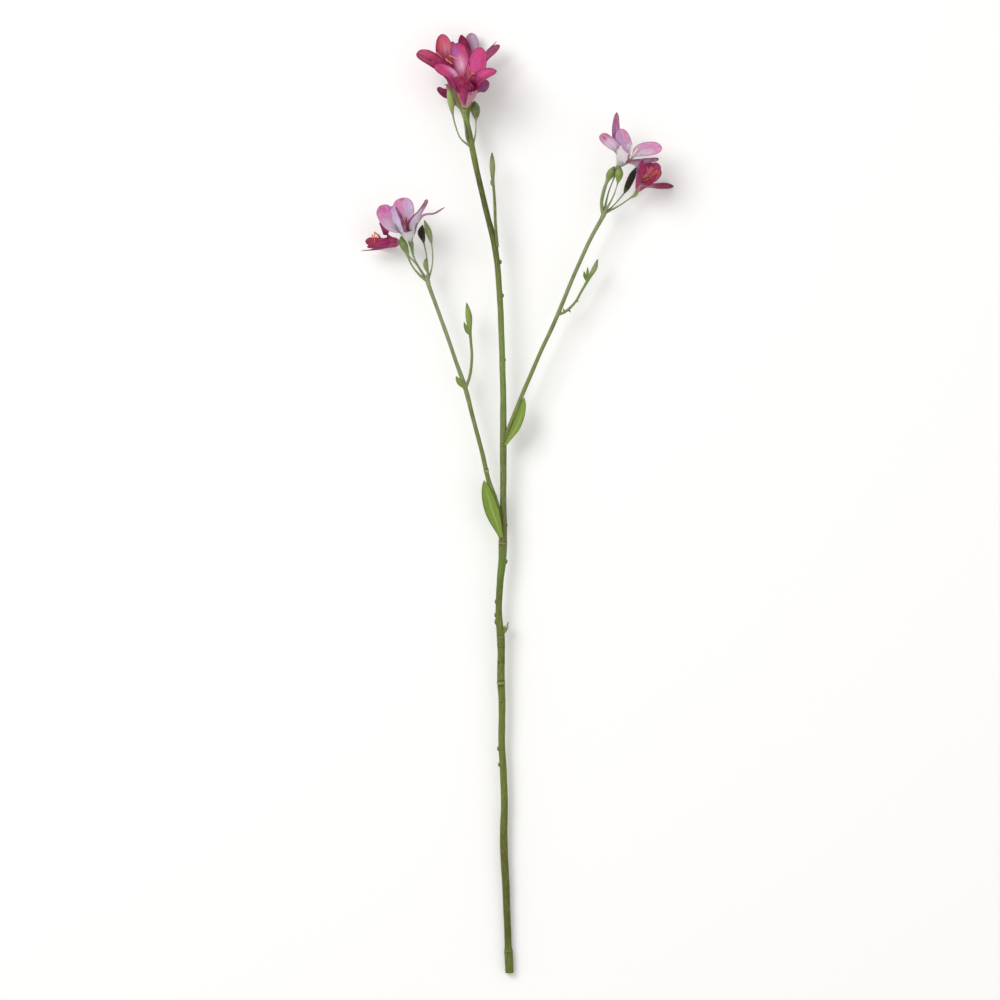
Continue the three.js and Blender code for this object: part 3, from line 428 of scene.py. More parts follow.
stemSettings = {
    "cutEndY": -376.0,
    "cutEndHeight": 3.4,
    "slope": 0.031,  # the flower heads hold the stem's top off the floor
    "run": [  # x, y, radius, from the cut end, whose first 18 mm are thicker by a thin sleeve
        (-6, -376.9, 3.35), (-6.5, -364, 3.4), (-6.8, -358.8, 3.35), (-7, -356.8, 2.95),
        (-7.5, -342.4, 2.8), (-9.1, -302.2, 3), (-10.6, -274.1, 3.1), (-10.1, -238, 2.8),
        (-11, -213.9, 2.75), (-12.2, -192.3, 2.7), (-12, -157.8, 2.8), (-12.9, -141.7, 3.1),
        (-12.6, -121.7, 2.95), (-13, -108.1, 3.2), (-14.6, -85.7, 2.6), (-13.3, -61.6, 2.8),
        (-11.8, -45.6, 3.2), (-11.2, -29.6, 3.4), (-11, 2.4, 2.55), (-11, 48, 2.75), (-11, 82.4, 2.45),
        (-12, 122.3, 2.35), (-13.6, 162.2, 2.35), (-16, 192.5, 2.35), (-18.7, 210.1, 2.5),
        (-22.8, 226, 2.3), (-26.6, 242, 2.25), (-30.4, 257.9, 2.2), (-33.8, 273.9, 2.35), (-35.6, 282.2, 2.4),
    ],
    # Rings round the stem: y, height, half width, and the shares of the pale band and the dark lines by it.
    # The first is the sleeve's edge and the last two are where branches leave; the others are leaf scars.
    "rings": [
        (-358, 0.1, 0.8, 0.3, 0.6), (-156.5, 0.15, 0.6, 0.3, 0.6), (-142.6, 0.35, 1.1, 0.55, 0.8),
        (-126.2, 0.2, 0.4, 0.1, 0.95), (-113, 0.2, 0.5, 0.2, 0.75), (-105.6, 0.15, 0.7, 0.25, 0.5),
        (-30.4, 0.25, 0.8, 0.4, 0.9), (48, 0.15, 0.6, 0.15, 0.8),
    ],
    "ringSlant": 0.5,  # mm
    "groove": {"depth": 0.3, "away": 1.9, "width": 0.6},  # shares of the ring's height and half width
    "band": {"dye": "#AEB57C", "width": 0.8},
    "darkLine": {"dye": "#34331A", "away": 1.7, "width": 0.8},
    # The skin's dye at heights along the stem; it is brown low down, brightest under the left branch and
    # darkest from 218 to 262 mm, which is painted shade under the flower heads
    "dyes": [
        (-370, "#606828"), (-345, "#50541B"), (-278, "#5B5A1F"), (-238, "#626D27"), (-158, "#68722D"),
        (-94, "#636D28"), (-70, "#596628"), (-46, "#637E2F"), (-26, "#6B6A3E"), (2, "#67713D"),
        # 218 and 262: painted shade under the flower heads, darker than the stem's own green
        (120, "#76884A"), (182, "#6A7538"), (218, "#4D5424"), (262, "#4A4F22"), (282, "#747A3E"),
    ],
}
# Ribs round a limb and their depth in mm, and the depth of the grooves between a bud's sepals
ribbing = {"stem": (7, 0.07), "branch": (6, 0.05), "stub": (5, 0.04), "scar": (3, 0.12), "collar": (6, 0.05)}
sepalGroove = {"bud": 0.1, "stalk": 0.05, "darkBud": 0.16}  # shares of the radius


def stemHeight(y):
    # A straight rise from the cut end
    return stemSettings["cutEndHeight"] + (y - stemSettings["cutEndY"]) * stemSettings["slope"]


def stemRelief(ribs, depth):
    # Lengthwise ribs, depth * cos(ribs * a), that twist a little, over a slow waviness of the radius
    ribTwist, twistLength = 0.5, 30
    waviness, longWave, shortWave, shortShare = 0.06, 5.3, 2.9, 0.6
    fullRadius = 2.5  # on a thinner limb all of it is less deep

    def relief(angle, length, radius):
        ribbed = depth * np.cos(ribs * angle + ribTwist * np.sin(length / twistLength))
        longWaves = np.sin(length / longWave + angle)
        uneven = waviness * (longWaves + np.sin(length / shortWave - 2 * angle) * shortShare)
        return (ribbed + uneven) * np.minimum(radius / fullRadius, 1)
    return relief


def fromRing(angle, length, ringY):
    # How far along the stem a point of its skin lies from a ring, which slants a little
    return length + stemSettings["cutEndY"] - ringY + stemSettings["ringSlant"] * np.sin(angle + ringY)


def mainStem():
    # A round limb along the run, with the rings in its relief and its dye
    user = stemSettings
    groove, band, darkLine = user["groove"], user["band"], user["darkLine"]
    base = stemRelief(*ribbing["stem"])

    def relief(angle, length, radius):
        # The ribs, and each ring's bump with a groove above it
        swelling = base(angle, length, radius)
        for ringY, height, half, pale, dark in user["rings"]:
            away = fromRing(angle, length, ringY)
            sunk = bump(away - groove["away"] * half, half * groove["width"])
            swelling = swelling + height * bump(away, half) - groove["depth"] * height * sunk
        return swelling

    def dye(angle, length, radius):
        # Straight from one dye stop to the next, then a pale band on each ring with a dark line either side
        y = length + user["cutEndY"]
        heights = [height for height, colour in user["dyes"]]
        stops = np.array([linearColour(colour) for height, colour in user["dyes"]])
        green = np.stack([np.interp(y, heights, stops[:, k]) for k in range(3)], -1)
        for ringY, height, half, pale, dark in user["rings"]:
            away = fromRing(angle, length, ringY)
            green = blendColour(green, linearColour(band["dye"]), pale * bump(away, half * band["width"]))
            lines = bump(np.abs(away) - darkLine["away"] * half, half * darkLine["width"])
            green = blendColour(green, linearColour(darkLine["dye"]), dark * lines)
        return green

    points = [(x, y, stemHeight(y), radius) for x, y, radius in user["run"]]
    return limb(points, "stem", relief, dye, (False, True))


makePiece("main_stem_skin", mainStem(), finish["waxyStemSkin"], "main_stem")
print("main stem made")


def fatterDye(thin, fat, tip, fatRadius=(1.3, 2.2), tipLength=3.0):
    # A limb's dye: thin where it is slim, fat where it swells into a bud, and tip over its last millimetres
    thin, fat, tip = linearColour(thin), linearColour(fat), linearColour(tip)
    tipShare = 0.8

    def dye(angle, length, radius):
        colour = blendColour(thin + 0 * angle[..., None], fat, smooth(*fatRadius, radius))
        return blendColour(colour, tip, smooth(length.max() - tipLength, length.max(), length) * tipShare)
    return dye


def alongDye(low, high):
    # A limb's dye: low over its first three tenths, high over its last fifth
    lowTo, highFrom = 0.3, 0.8

    def dye(angle, length, radius):
        share = smooth(lowTo, highFrom, length / length.max())
        return blendColour(linearColour(low) + 0 * angle[..., None], linearColour(high), share)
    return dye


def budRelief(depth):
    # Three sepals closed over a bud: a round back each, |cos(3a / 2)|, with a groove between, where it is fat
    fatRadius, turned, level = (1.2, 2.2), 0.4, 0.75
    waviness, wavesPerMm = 0.03, 1.9

    def relief(angle, length, radius):
        lobes = depth * (np.abs(np.cos(3 * angle / 2 + turned)) - level) * radius
        uneven = waviness * np.sin(length * wavesPerMm + 2 * angle)
        return smooth(*fatRadius, radius) * lobes + uneven
    return relief


# Leaves and bracts: the widest place along them, how fast they close to the tip, the fold along the
# midrib, the waves of the rim, the thickness in mm, and the dyes of blade, rim and midrib
leafShape = {
    "widest": 0.45, "point": 0.8, "fold": 0.45, "wave": 0.06, "thickness": 0.9,
    "dyes": ("#7C9338", "#3F5220", "#A9BA68"),
}
bractShape = {
    "widest": 0.45, "point": 1.0, "fold": 0.3, "wave": 0.0, "thickness": 0.7,
    "dyes": ("#7F9148", "#55662C", "#A9B772"),
}
bladeDetail = {
    "rows": 48, "columns": 21, "crowding": 1.5, "footWidth": 0.35, "thinnest": 0.12, "wavesAlong": 17,
    "keel": 0.22, "keelWidth": 0.1, "rimThickness": 0.35,
    "rimFrom": 0.82, "rimShare": 0.7, "veins": 22, "veinShare": 0.18, "ribWidth": 0.09, "ribShare": 0.7,
}


def blade(line, facing, width, shape):
    # A leaf or bract: across s from -1 to 1 and along t, middle = line(t) + side * s * half(t)
    # + lift * (fold * half(t) * s^2 - keel + wave * sin(17t + 1) * s|s| * half(t)). Half grows up to
    # "widest" and closes to the tip.
    detail, widest = bladeDetail, shape["widest"]
    t = 1 - (1 - np.linspace(0, 1, detail["rows"] + 1)) ** detail["crowding"]
    s = np.sin(np.linspace(-np.pi / 2, np.pi / 2, detail["columns"]))
    path = curveAt(line, t * (len(line) - 1))
    ahead = unit(np.gradient(path, t, axis=0))
    side = unit(np.cross(ahead, np.array(facing, float)))
    lift = np.cross(side, ahead)
    foot = detail["footWidth"]
    grown = np.where(t < widest, foot + (1 - foot) * smooth(0, widest, t), 1)
    closing = (1 - np.clip((t - widest) / (1 - widest), 0, 1) ** 2) ** shape["point"]
    half = np.maximum(width / 2 * grown * np.where(t < widest, 1, closing), detail["thinnest"])
    keel = detail["keel"] * bump(s, detail["keelWidth"]) * (half / half.max())[:, None]
    waves = shape["wave"] * np.sin(t * detail["wavesAlong"] + 1)[:, None] * s * np.abs(s) * half[:, None]
    rise = shape["fold"] * half[:, None] * s ** 2 - keel + waves
    middle = path[:, None] + side[:, None] * (s * half[:, None])[..., None] + lift[:, None] * rise[..., None]
    rimBody = detail["rimThickness"]
    body = shape["thickness"] * (rimBody + (1 - rimBody) * (1 - s ** 2)) * np.sqrt(1 - s ** 8)
    body = body[None, :] * np.sqrt(np.clip(1 - t ** 12, 0, 1))[:, None]
    length = np.linalg.norm(np.diff(path, axis=0), axis=1).sum()
    grain = np.stack([s * half[:, None], 0 * rise, (t * length)[:, None] + 0 * rise], -1)
    base, rim, rib = (linearColour(dye) for dye in shape["dyes"])
    rimShare = smooth(detail["rimFrom"], 1.0, np.abs(s))[None, :] * detail["rimShare"] + 0 * rise
    colour = blendColour(base + 0 * middle, rim, rimShare)
    veins = detail["veinShare"] * (0.5 + 0.5 * np.cos(s * detail["veins"]))[None, :] * (1 - t)[:, None] ** 0.3
    colour = blendColour(colour, rim, veins)
    ribShare = detail["ribShare"] * bump(s, detail["ribWidth"])[None, :] * (1 - t ** 3)[:, None]
    colour = blendColour(colour, rib, ribShare)
    return leafSheet(middle, body, grain, (colour, colour))


def bractsOf(user):
    # A small blade for each of the piece's bracts
    return [blade(line, facing, width, bractShape) for line, facing, width in user["bracts"]]


stemTrimmings = {
    "twig": [
        (-15.6, 204.5, 22.6, 1.2), (-16.3, 211.6, 24.2, 1.2), (-17.3, 224.3, 25.4, 1.2),
        (-17.7, 237.8, 26, 1.2), (-18.5, 249.8, 26.4, 1.1), (-19.3, 257.7, 26.7, 1.3),
        (-19.7, 268.1, 27, 2.3), (-19.9, 274.5, 27.1, 1.7), (-20, 279.4, 27.2, 0.4),
    ],
    "twigDyes": ("#66733F", "#8D9260", "#3F4A22"),
    "bracts": [([(-18.7, 252.1, 26.6), (-19.7, 255.2, 28.4), (-21.1, 257.3, 29.4)], (0.2, -0.3, 1), 3.4)],
    "stub": [(-12, -104.5, 11.6, 1.9), (-9.8, -101.4, 12.4, 1.8), (-7.9, -98.2, 12.8, 1.6)],
    "stubDyes": ("#6C7A38", "#6C7A38", "#D8D6B4"),
    "hook": [(-7.6, -98.4, 13, 0.5), (-7.1, -95.4, 13.2, 0.4)],  # dried, on the stub's cut end
    "hookDyes": ("#7A6A40", "#7A6A40", "#4E4226"),
    "scars": [  # x, y, radius
        (-16.6, -78.9, 1.3), (-16.9, -89.6, 1.3), (-16.6, -95, 1.5), (-8.6, -17.7, 1.1), (-8.8, -46.6, 1.2),
        (-14.9, -196.7, 1.1), (-14.3, -209.5, 1), (-13.3, 192.6, 1.1), (-11.4, 165.8, 1), (-9.6, 114.4, 0.8),
    ],
    # A scar's places along the stem and its radius there, both in shares of its own radius
    "scarRun": ((-1.6, 0.45), (-0.8, 0.9), (0.6, 1), (1.4, 0.55)),
    "scarDyes": ("#4C5426", "#6C7A38", "#8A8A5C"),
}


def twigStubAndScars():
    # The twig and its bract, the stub and its hook, and a short round knob for each scar
    user = stemTrimmings
    stubDye = fatterDye(*user["stubDyes"], tipLength=2)
    parts = [
        limb(user["twig"], "twig", budRelief(sepalGroove["bud"]), fatterDye(*user["twigDyes"])),
        limb(user["stub"], "stub", stemRelief(*ribbing["stub"]), stubDye, (True, False)),
        *bractsOf(user),
        limb(user["hook"], "hook", None, fatterDye(*user["hookDyes"])),
    ]
    for x, y, radius in user["scars"]:
        run = [(x, y + away * radius, stemHeight(y), share * radius) for away, share in user["scarRun"]]
        parts.append(limb(run, "scar", stemRelief(*ribbing["scar"]), fatterDye(*user["scarDyes"])))
    return joined(parts)


makePiece("main_stem_twig_and_scars", twigStubAndScars(), finish["stalkSkin"], "main_stem")

branches = {
    "left_branch": {
        "run": [
            (-11.2, -32, 13.4, 1.6), (-13.6, -13.6, 15.4, 1.9), (-17.2, 2.4, 17, 2), (-22.8, 18.4, 17.7, 1.9),
            (-28.4, 42.4, 18, 1.8), (-34.8, 66.3, 18.5, 1.7), (-40.9, 90.3, 19, 1.9),
            (-49.2, 114.3, 19.7, 1.6), (-57.5, 138.2, 20.5, 1.6), (-66.3, 162.2, 21.3, 1.6),
            (-70.6, 174, 21.9, 1.7),
        ],
        "dyes": ("#6F7B40", "#88916A"),
        "rings": [[(-24, 24.3, 17.8, 1.7), (-24.6, 26.2, 17.9, 2.05), (-25.1, 28, 17.9, 1.7)]],
        "twig": [
            (-41.3, 91.1, 19.2, 1.3), (-37.7, 101.7, 20.2, 1.2), (-36.1, 116.4, 21, 1.1),
            (-36.9, 129.4, 21.6, 1.1), (-37.6, 136.6, 22, 1.4), (-38.5, 148.6, 22.4, 2.7),
            (-39.5, 155.4, 22.5, 1.7), (-40.2, 159.7, 22.6, 0.4),
        ],
        "twigDyes": ("#788754", "#89994A", "#3F4A22"),
        "bracts": [
            ([(-41.6, 91.1, 20.6), (-46.4, 96.7, 21.6), (-48.8, 101.5, 21.2)], (0.5, 0, 1), 4.6),
            ([(-37.1, 133.4, 22.6), (-40.4, 138.5, 23.6), (-42.5, 144.7, 23.4)], (0.6, 0, 1), 4.2),
        ],
        "spurs": [],
    },
    "right_branch": {
        "run": [
            (-11, 43.2, 15.6, 1.5), (-6.8, 58.4, 18, 1.8), (-0.8, 74.3, 19, 1.7), (9.2, 98.3, 19.6, 1.7),
            (19.6, 122.3, 20.2, 1.6), (30.7, 146.2, 20.8, 1.7), (43.9, 178.2, 21.3, 1.6),
            (58.3, 210.1, 21.8, 1.6), (67.5, 227, 21.9, 1.7),
        ],
        "dyes": ("#778348", "#848D62"),
        "rings": [],
        "twig": [
            (31.9, 150.2, 20.9, 1.2), (38.7, 152.9, 21.6, 1.1), (46.9, 161, 22.1, 1), (50.9, 168.1, 22.4, 1),
            (55, 175.2, 22.7, 1.1), (58.7, 181.7, 22.9, 1.5), (62.1, 188, 23, 2.1), (64.4, 194.5, 23, 0.4),
        ],
        "twigDyes": ("#788754", "#91986C", "#3F4A22"),
        "bracts": [
            ([(55.6, 176.5, 23), (53.9, 181.6, 24), (53.5, 185.2, 24)], (0.4, -0.2, 1), 2.6),
            ([(55.6, 176.5, 23), (56.2, 183.1, 24.6), (56.3, 188.7, 24.8)], (0.4, -0.2, 1), 2.6),
        ],
        "spurs": [
            [(37.9, 152.6, 21.6, 0.9), (37.1, 154.9, 22.2, 0.5)],
            [(41.5, 154.5, 21.8, 0.9), (42.5, 152.5, 22.2, 0.5)],
            [(47.4, 161.7, 22.2, 0.9), (48.7, 161, 22.6, 0.5)],
        ],
    },
}
branchRingDyes = ("#98A26C", "#4E5629")
spurDyes = ("#646E40", "#646E40", "#3E3E1E")


def branch(user):
    # Its run with any rings, its twig with bracts, and its spurs
    parts = [limb(user["run"], "branch", stemRelief(*ribbing["branch"]), alongDye(*user["dyes"]))]
    parts += [limb(points, "branchRing", None, alongDye(*branchRingDyes)) for points in user["rings"]]
    parts.append(limb(user["twig"], "twig", budRelief(sepalGroove["bud"]), fatterDye(*user["twigDyes"])))
    parts += bractsOf(user)
    parts += [limb(points, "spur", None, fatterDye(*spurDyes)) for points in user["spurs"]]
    return joined(parts)


for name, user in branches.items():
    makePiece(name + "_skin", branch(user), finish["waxyStemSkin"], name)

leaves = {
    "left_leaf": {
        "line": [
            (-12.2, -28.4, 18.3), (-15.9, -17, 19.6), (-20.4, -4, 19.2), (-24, 8.8, 18.8), (-26.3, 18.2, 19),
        ],
        "facing": (-0.2, 0, 1), "width": 11.2,
    },
    "right_leaf": {
        "line": [
            (-9.8, 45.6, 18.9), (-5, 53.2, 20.4), (-0.2, 61, 20.3), (3.2, 70, 19.4), (5.1, 78, 19.4),
            (5.8, 84.4, 19.5),
        ],
        "facing": (-0.3, 0.1, 1), "width": 7.6,
    },
}
for name, user in leaves.items():
    sheet = blade(user["line"], user["facing"], user["width"], leafShape)
    makePiece(name + "_blade", sheet, finish["leafSkin"], name)
print("branches and leaves made")


# Blooms

bellShape = {"radius": [1.7, 2.5, 4.4, 6.9], "along": [0, 1.8, 6.5, 12.5], "wallHalf": 0.4}
tepalStep = 60  # degrees round the bloom from one tepal to the next
tepalRoot = {
    "along": 9.4, "radius": 5.5, "halfWidth": 3.4,  # where it leaves the bell, in mm on a bloom of size 1
    "climb": [0.03, 0.2, 0.45, 0.72, 1],  # places up the wall, in shares of the way to there
    "belly": [0, 0.6, 1, 0.6, 0],  # how much of the bloom's belly each place takes
    "whorl": 0.35, "whorlShares": [0.5, 0.8, 1, 1, 1],  # every second tepal stands this far outside, in mm
}
tepalDetail = {
    "bellRows": 12, "rows": 44, "columns": 33, "crowding": 1.6, "thinnest": 0.12,
    "thickness": 0.6, "rimThickness": 0.4,
    "levelIn": (0.1, 0.5),  # from the bell's own sideways direction to the one that "face" gives
    "hollowIn": (0.1, 0.8),
    "closing": 2.6,  # the higher, the fuller the tepal stays towards its tip
    "roundTip": 0.08,  # the share of the length over which stops of width are rounded off
    "wavesAlong": 11, "wavesIn": (0.2, 0.6),
    "waveShift": (2.1, 9),  # for each tepal, and for the bloom's size, so that no two wave alike
    "ripplesAlong": 23, "ripplesIn": (0.3, 0.7), "rippleShare": 0.5,
    "keel": 0.25, "keelWidth": 0.09, "keelIn": (-0.2, 0.3),
    "veins": 0.07, "veinTurns": 19, "veinWander": 6, "veinsIn": (0, 0.3),
    "grainStep": 40,  # each tepal takes its noise from another stretch, in mm
}
usualTepal = {
    "face": None,  # what the inner side looks at, past the bell
    "width": 8, "widest": 0.62, "sharp": 0.5,
    "widths": None,  # or the full width at places along it, as (t, width)
    "cup": 0.15,
    "hollows": None,  # or the hollow at places along it, as (t, hollow)
    "root": 1.0, "neck": 1.0, "wave": 0.05,
    # Margins rolled over: side, share of the half width, degrees (outward is negative), from t, to t
    "rolls": (),
    "inner": None, "outer": None, "rim": None,
    "patches": (),  # soft ovals of dye: face, s, t, width, length, dye, share
}
# Each side's dyes run base, middle, tip; "foot" is the bell's lower end and "margin" the tepals' edges
# on it.
petalDyes = {
    "magenta": {
        "inner": ("#D78FB6", "#C8457F", "#B43E70"), "outer": ("#A52C5D", "#A22B62", "#9A3060"),
        "rim": "#5A1636", "throat": "#D8604E", "foot": "#C79A98", "margin": "#B59A7C",
    },
    "crimson": {
        "inner": ("#A83A68", "#9A2450", "#92244E"), "outer": ("#A03A62", "#8E2450", "#8A2850"),
        "rim": "#4A102C", "throat": "#6E0C3A", "foot": "#B98A8C", "margin": "#9A4A60",
    },
    "pale": {
        "inner": ("#D2CFCC", "#CBB4D0", "#CA74A8"), "outer": ("#C9C9C0", "#C9BECA", "#C68CB0"),
        "rim": "#84486C", "throat": "#D0A27C", "foot": "#A9AC96", "margin": "#DAD8D2",
    },
}
receptacleDye = "#8C9C5A"
# Where one dye gives way to the next, in t along the tepal or s across it, and how much of it shows
dyeMeeting = {
    "middleIn": (0.02, 0.45), "tipIn": (0.45, 0.95),
    "marginAcross": (0.5, 0.8), "marginOut": (-0.05, 0.2), "margin": 0.75,
    "footOut": (-0.85, -0.5), "receptacleOut": (-1, -0.8), "receptacle": 0.8,
    "throatOut": (-0.15, 0.14), "throat": 0.85,
    "rimFromEdge": (0.1, 0.75),  # mm
    "rimIn": (-0.1, 0.25), "rim": 0.8, "tipRimIn": (0.96, 1.0), "tipRim": 0.7,
}


def axesOf(user):
    # The bloom's own axes: ahead out of its mouth, front towards +Z, and angles round it from the front
    foot = np.array(user["foot"], float)
    ahead = unit(np.array(user["mouth"], float) - foot)
    front = unit(np.array([0, 0, 1.0]) - ahead * ahead[2])
    right = np.cross(ahead, front)

    def around(degrees):
        angle = math.radians(degrees)
        return front * math.cos(angle) + right * math.sin(angle)
    return foot, ahead, around


def throughStops(stops, t):
    # A smooth curve through a few (t, value) stops; t counts twentyfold, so that it sets the curve's pace
    pace, samples = 20, 200
    stops = np.array(stops, float) * (pace, 1)
    line = curveAt(stops, np.linspace(0, len(stops) - 1, samples))
    return np.interp(t * pace, line[:, 0], line[:, 1])


bendShare = 0.35  # how much of a folded margin's width is its bend
rollIn, rollOut = 0.1, 0.06  # how far before and after its two places t a roll comes in and goes out
flattest = 1e-3  # radians


def rolledMargins(rolls, s, t):
    # Where a margin folds over, s goes on along an arc of angle a, r sin(a b) across and r (1 - cos(a b)) up
    # or down with b from 0 to 1 through the bend, and then straight on at that angle to the edge.
    across = s + 0 * t[:, None]
    lift = 0 * across
    for side, share, degrees, start, end in rolls:
        opening = smooth(start - rollIn, start + rollIn, t)
        turn = math.radians(abs(degrees)) * opening * (1 - smooth(end - rollOut, end + rollOut, t))
        turn = np.maximum(turn, flattest)[:, None]
        u = np.clip((s * side - (1 - share)) / share, 0, 1) + 0 * across
        bend = np.minimum(u / bendShare, 1)
        straight = share * np.maximum(u - bendShare, 0)
        radius = share * bendShare / turn
        bent = side * (1 - share + radius * np.sin(turn * bend) + straight * np.cos(turn))
        across = np.where(u > 0, bent, across)
        raised = radius * (1 - np.cos(turn * bend)) + straight * np.sin(turn)
        lift = lift + math.copysign(1, degrees) * raised
    return across, lift


def tepal(user, index):
    # One tepal from the bell's foot to its tip. Its path climbs the bell's wall and goes on through the
    # points of its line; t is 0 where it leaves the bell and 1 at the tip, s from -1 to 1 across.
    # middle = path(t) + level(t) * s * half(t) + inward(t) * hollow(t) * half(t) * s^2, plus waves,
    # a keel and veins.
    foot, ahead, around = axesOf(user)
    detail = tepalDetail
    shape = {**usualTepal, **user["tepals"][index]}
    size, root, widest = user["size"], shape["root"], shape["widest"]
    out = around(user["turn"] + tepalStep * index)
    sideways = np.cross(ahead, out)

    # The path, up the wall and then along the line
    whorl = tepalRoot["whorl"] * (1 if index % 2 else -1)
    leaveAt, leaveRadius = tepalRoot["along"] * root, tepalRoot["radius"] * root
    climb = np.array(tepalRoot["climb"]) * leaveAt
    wall = np.interp(climb, bellShape["along"], bellShape["radius"]) - bellShape["wallHalf"]
    wall = wall * (1 + (leaveRadius / wall[-1] - 1) * climb / leaveAt)
    wall = (wall + user["belly"] * np.array(tepalRoot["belly"])) * size
    standing = (wall + whorl * np.array(tepalRoot["whorlShares"]))[:, None]
    points = np.vstack([foot + ahead * (climb * size)[:, None] + out * standing, shape["line"]])
    places, run = placesByLength(points)
    leave = np.interp(len(climb) - 1, places, run)
    beyond = 1 - (1 - np.linspace(0, 1, detail["rows"] + 1)) ** detail["crowding"]
    t = np.concatenate([np.linspace(-1, 0, detail["bellRows"] + 1)[:-1], beyond])
    above = np.clip(t, 0, 1)
    length = np.where(t < 0, leave * (1 + t), leave + (run[-1] - leave) * t)
    path = curveAt(points, np.interp(length, run, places))

    # Its directions: forward, level across it, and inward
    forward = unit(np.gradient(path, length, axis=0))
    turned = sideways + 0 * forward
    if shape["face"] is not None:
        turned = unit(np.cross(np.array(shape["face"], float), forward))
    level = sideways + (turned - sideways) * smooth(*detail["levelIn"], t)[:, None]
    level = unit(level - forward * (level * forward).sum(1, keepdims=True))
    inward = np.cross(forward, level)

    # Half its width, and its hollow, which on the bell wraps it round the wall
    rootHalf = tepalRoot["halfWidth"] * size * shape["neck"]
    ring = leaveRadius * size
    wrap = (ring - math.sqrt(max(ring ** 2 - rootHalf ** 2, 0))) / rootHalf
    onBell = rootHalf * np.interp(length, np.interp(range(len(climb)), places, run), wall) / wall[-1]
    if shape["widths"] is None:
        x = np.clip((t - widest) / (1 - widest), 0, 1)
        grown = rootHalf + (shape["width"] / 2 - rootHalf) * smooth(0, 1, above / widest)
        closing = shape["width"] / 2 * np.clip(1 - x ** detail["closing"], 0, 1) ** shape["sharp"]
        free = np.where(t < widest, grown, closing)
    else:
        x = np.clip((above - (1 - detail["roundTip"])) / detail["roundTip"], 0, 1)
        free = throughStops([(0, rootHalf * 2), *shape["widths"]], above) / 2 * np.sqrt(1 - x ** 2)
    half = np.maximum(np.where(t < 0, onBell, free), detail["thinnest"])
    hollow = wrap + (shape["cup"] - wrap) * smooth(*detail["hollowIn"], t)
    if shape["hollows"] is not None:
        hollow = np.where(t < 0, wrap, throughStops([(0, wrap), *shape["hollows"]], above))

    # The surface
    s = np.sin(np.linspace(-np.pi / 2, np.pi / 2, detail["columns"]))
    across, lift = rolledMargins(shape["rolls"], s, t)
    shift, sizeShift = detail["waveShift"]
    wave = shape["wave"] * np.sin(above * detail["wavesAlong"] + index * shift + size * sizeShift)
    wave = wave * smooth(*detail["wavesIn"], t)
    ripple = detail["rippleShare"] * shape["wave"] * np.sin(above * detail["ripplesAlong"] + index)[:, None]
    ripple = ripple * np.sign(s) * smooth(*detail["ripplesIn"], t)[:, None]
    share = (half / half.max())[:, None]
    rise = half[:, None] * (hollow[:, None] * across ** 2 + (wave[:, None] + ripple) * np.abs(s) ** 3 + lift)
    keel = detail["keel"] * bump(s, detail["keelWidth"]) * smooth(*detail["keelIn"], t)[:, None]
    rise = rise - keel * share
    veins = np.cos(s * detail["veinTurns"] + np.sin(above * detail["veinWander"])[:, None])
    rise = rise + detail["veins"] * veins * smooth(*detail["veinsIn"], t)[:, None] * share
    spread = (across * half[:, None])[..., None]
    middle = path[:, None] + level[:, None] * spread + inward[:, None] * rise[..., None]
    rimBody = detail["rimThickness"]
    body = detail["thickness"] * (rimBody + (1 - rimBody) * (1 - s ** 2)) * np.sqrt(1 - s ** 8)
    body = body[None, :] * np.sqrt(np.clip(1 - above ** 12, 0, 1))[:, None]
    acrossMm = s * half[:, None]
    flat = 0 * acrossMm
    grain = np.stack([acrossMm + detail["grainStep"] * index, length[:, None] + flat, s + flat], -1)
    inner, outer = tepalDyes(user, shape, s[None, :] + flat, t[:, None] + flat, half[:, None])
    return leafSheet(middle, body, grain, (outer, inner))


def tepalDyes(user, shape, s, t, half):
    # The dyes of both faces: base to middle to tip along the tepal, then its patches, each exp(-d^2) of
    # an oval's distance d, then a dark line along the rim; the throat takes its throat dye, on top_left a
    # painted shade, and the bell fades to its foot.
    usual, meeting = petalDyes[user["dyes"]], dyeMeeting
    edge = (1 - np.abs(s)) * half
    faces = []
    for side in ("inner", "outer"):
        base, middle, tip = (linearColour(dye) for dye in shape[side] or user.get(side) or usual[side])
        colour = blendColour(base + 0 * s[..., None], middle, smooth(*meeting["middleIn"], t))
        colour = blendColour(colour, tip, smooth(*meeting["tipIn"], t))
        if side == "outer":
            margin = smooth(*meeting["marginAcross"], np.abs(s)) * (1 - smooth(*meeting["marginOut"], t))
            colour = blendColour(colour, linearColour(usual["margin"]), meeting["margin"] * margin)
            colour = blendColour(colour, linearColour(usual["foot"]), 1 - smooth(*meeting["footOut"], t))
            green = meeting["receptacle"] * (1 - smooth(*meeting["receptacleOut"], t))
            colour = blendColour(colour, linearColour(receptacleDye), green)
        else:
            throat = linearColour(user.get("throat", usual["throat"]))
            colour = blendColour(colour, throat, meeting["throat"] * (1 - smooth(*meeting["throatOut"], t)))
        for face, acrossAt, alongAt, wide, long, dye, share in shape["patches"]:
            if face == side:
                away = ((s - acrossAt) / wide) ** 2 + ((t - alongAt) / long) ** 2
                colour = blendColour(colour, linearColour(dye), share * np.exp(-away))
        plum = (1 - smooth(*meeting["rimFromEdge"], edge)) * smooth(*meeting["rimIn"], t) * meeting["rim"]
        plum = np.maximum(plum, meeting["tipRim"] * smooth(*meeting["tipRimIn"], t))
        faces.append(blendColour(colour, linearColour(shape["rim"] or usual["rim"]), plum))
    return faces


floorProfile = [(0.2, 1.4), (1.2, 1.8), (2.6, 2.3), (3.6, 1.4), (3.9, 0.4)]  # up the bell and radius, in mm
floorDyes = ("#9DAE62", "#B9A77C")  # below and above


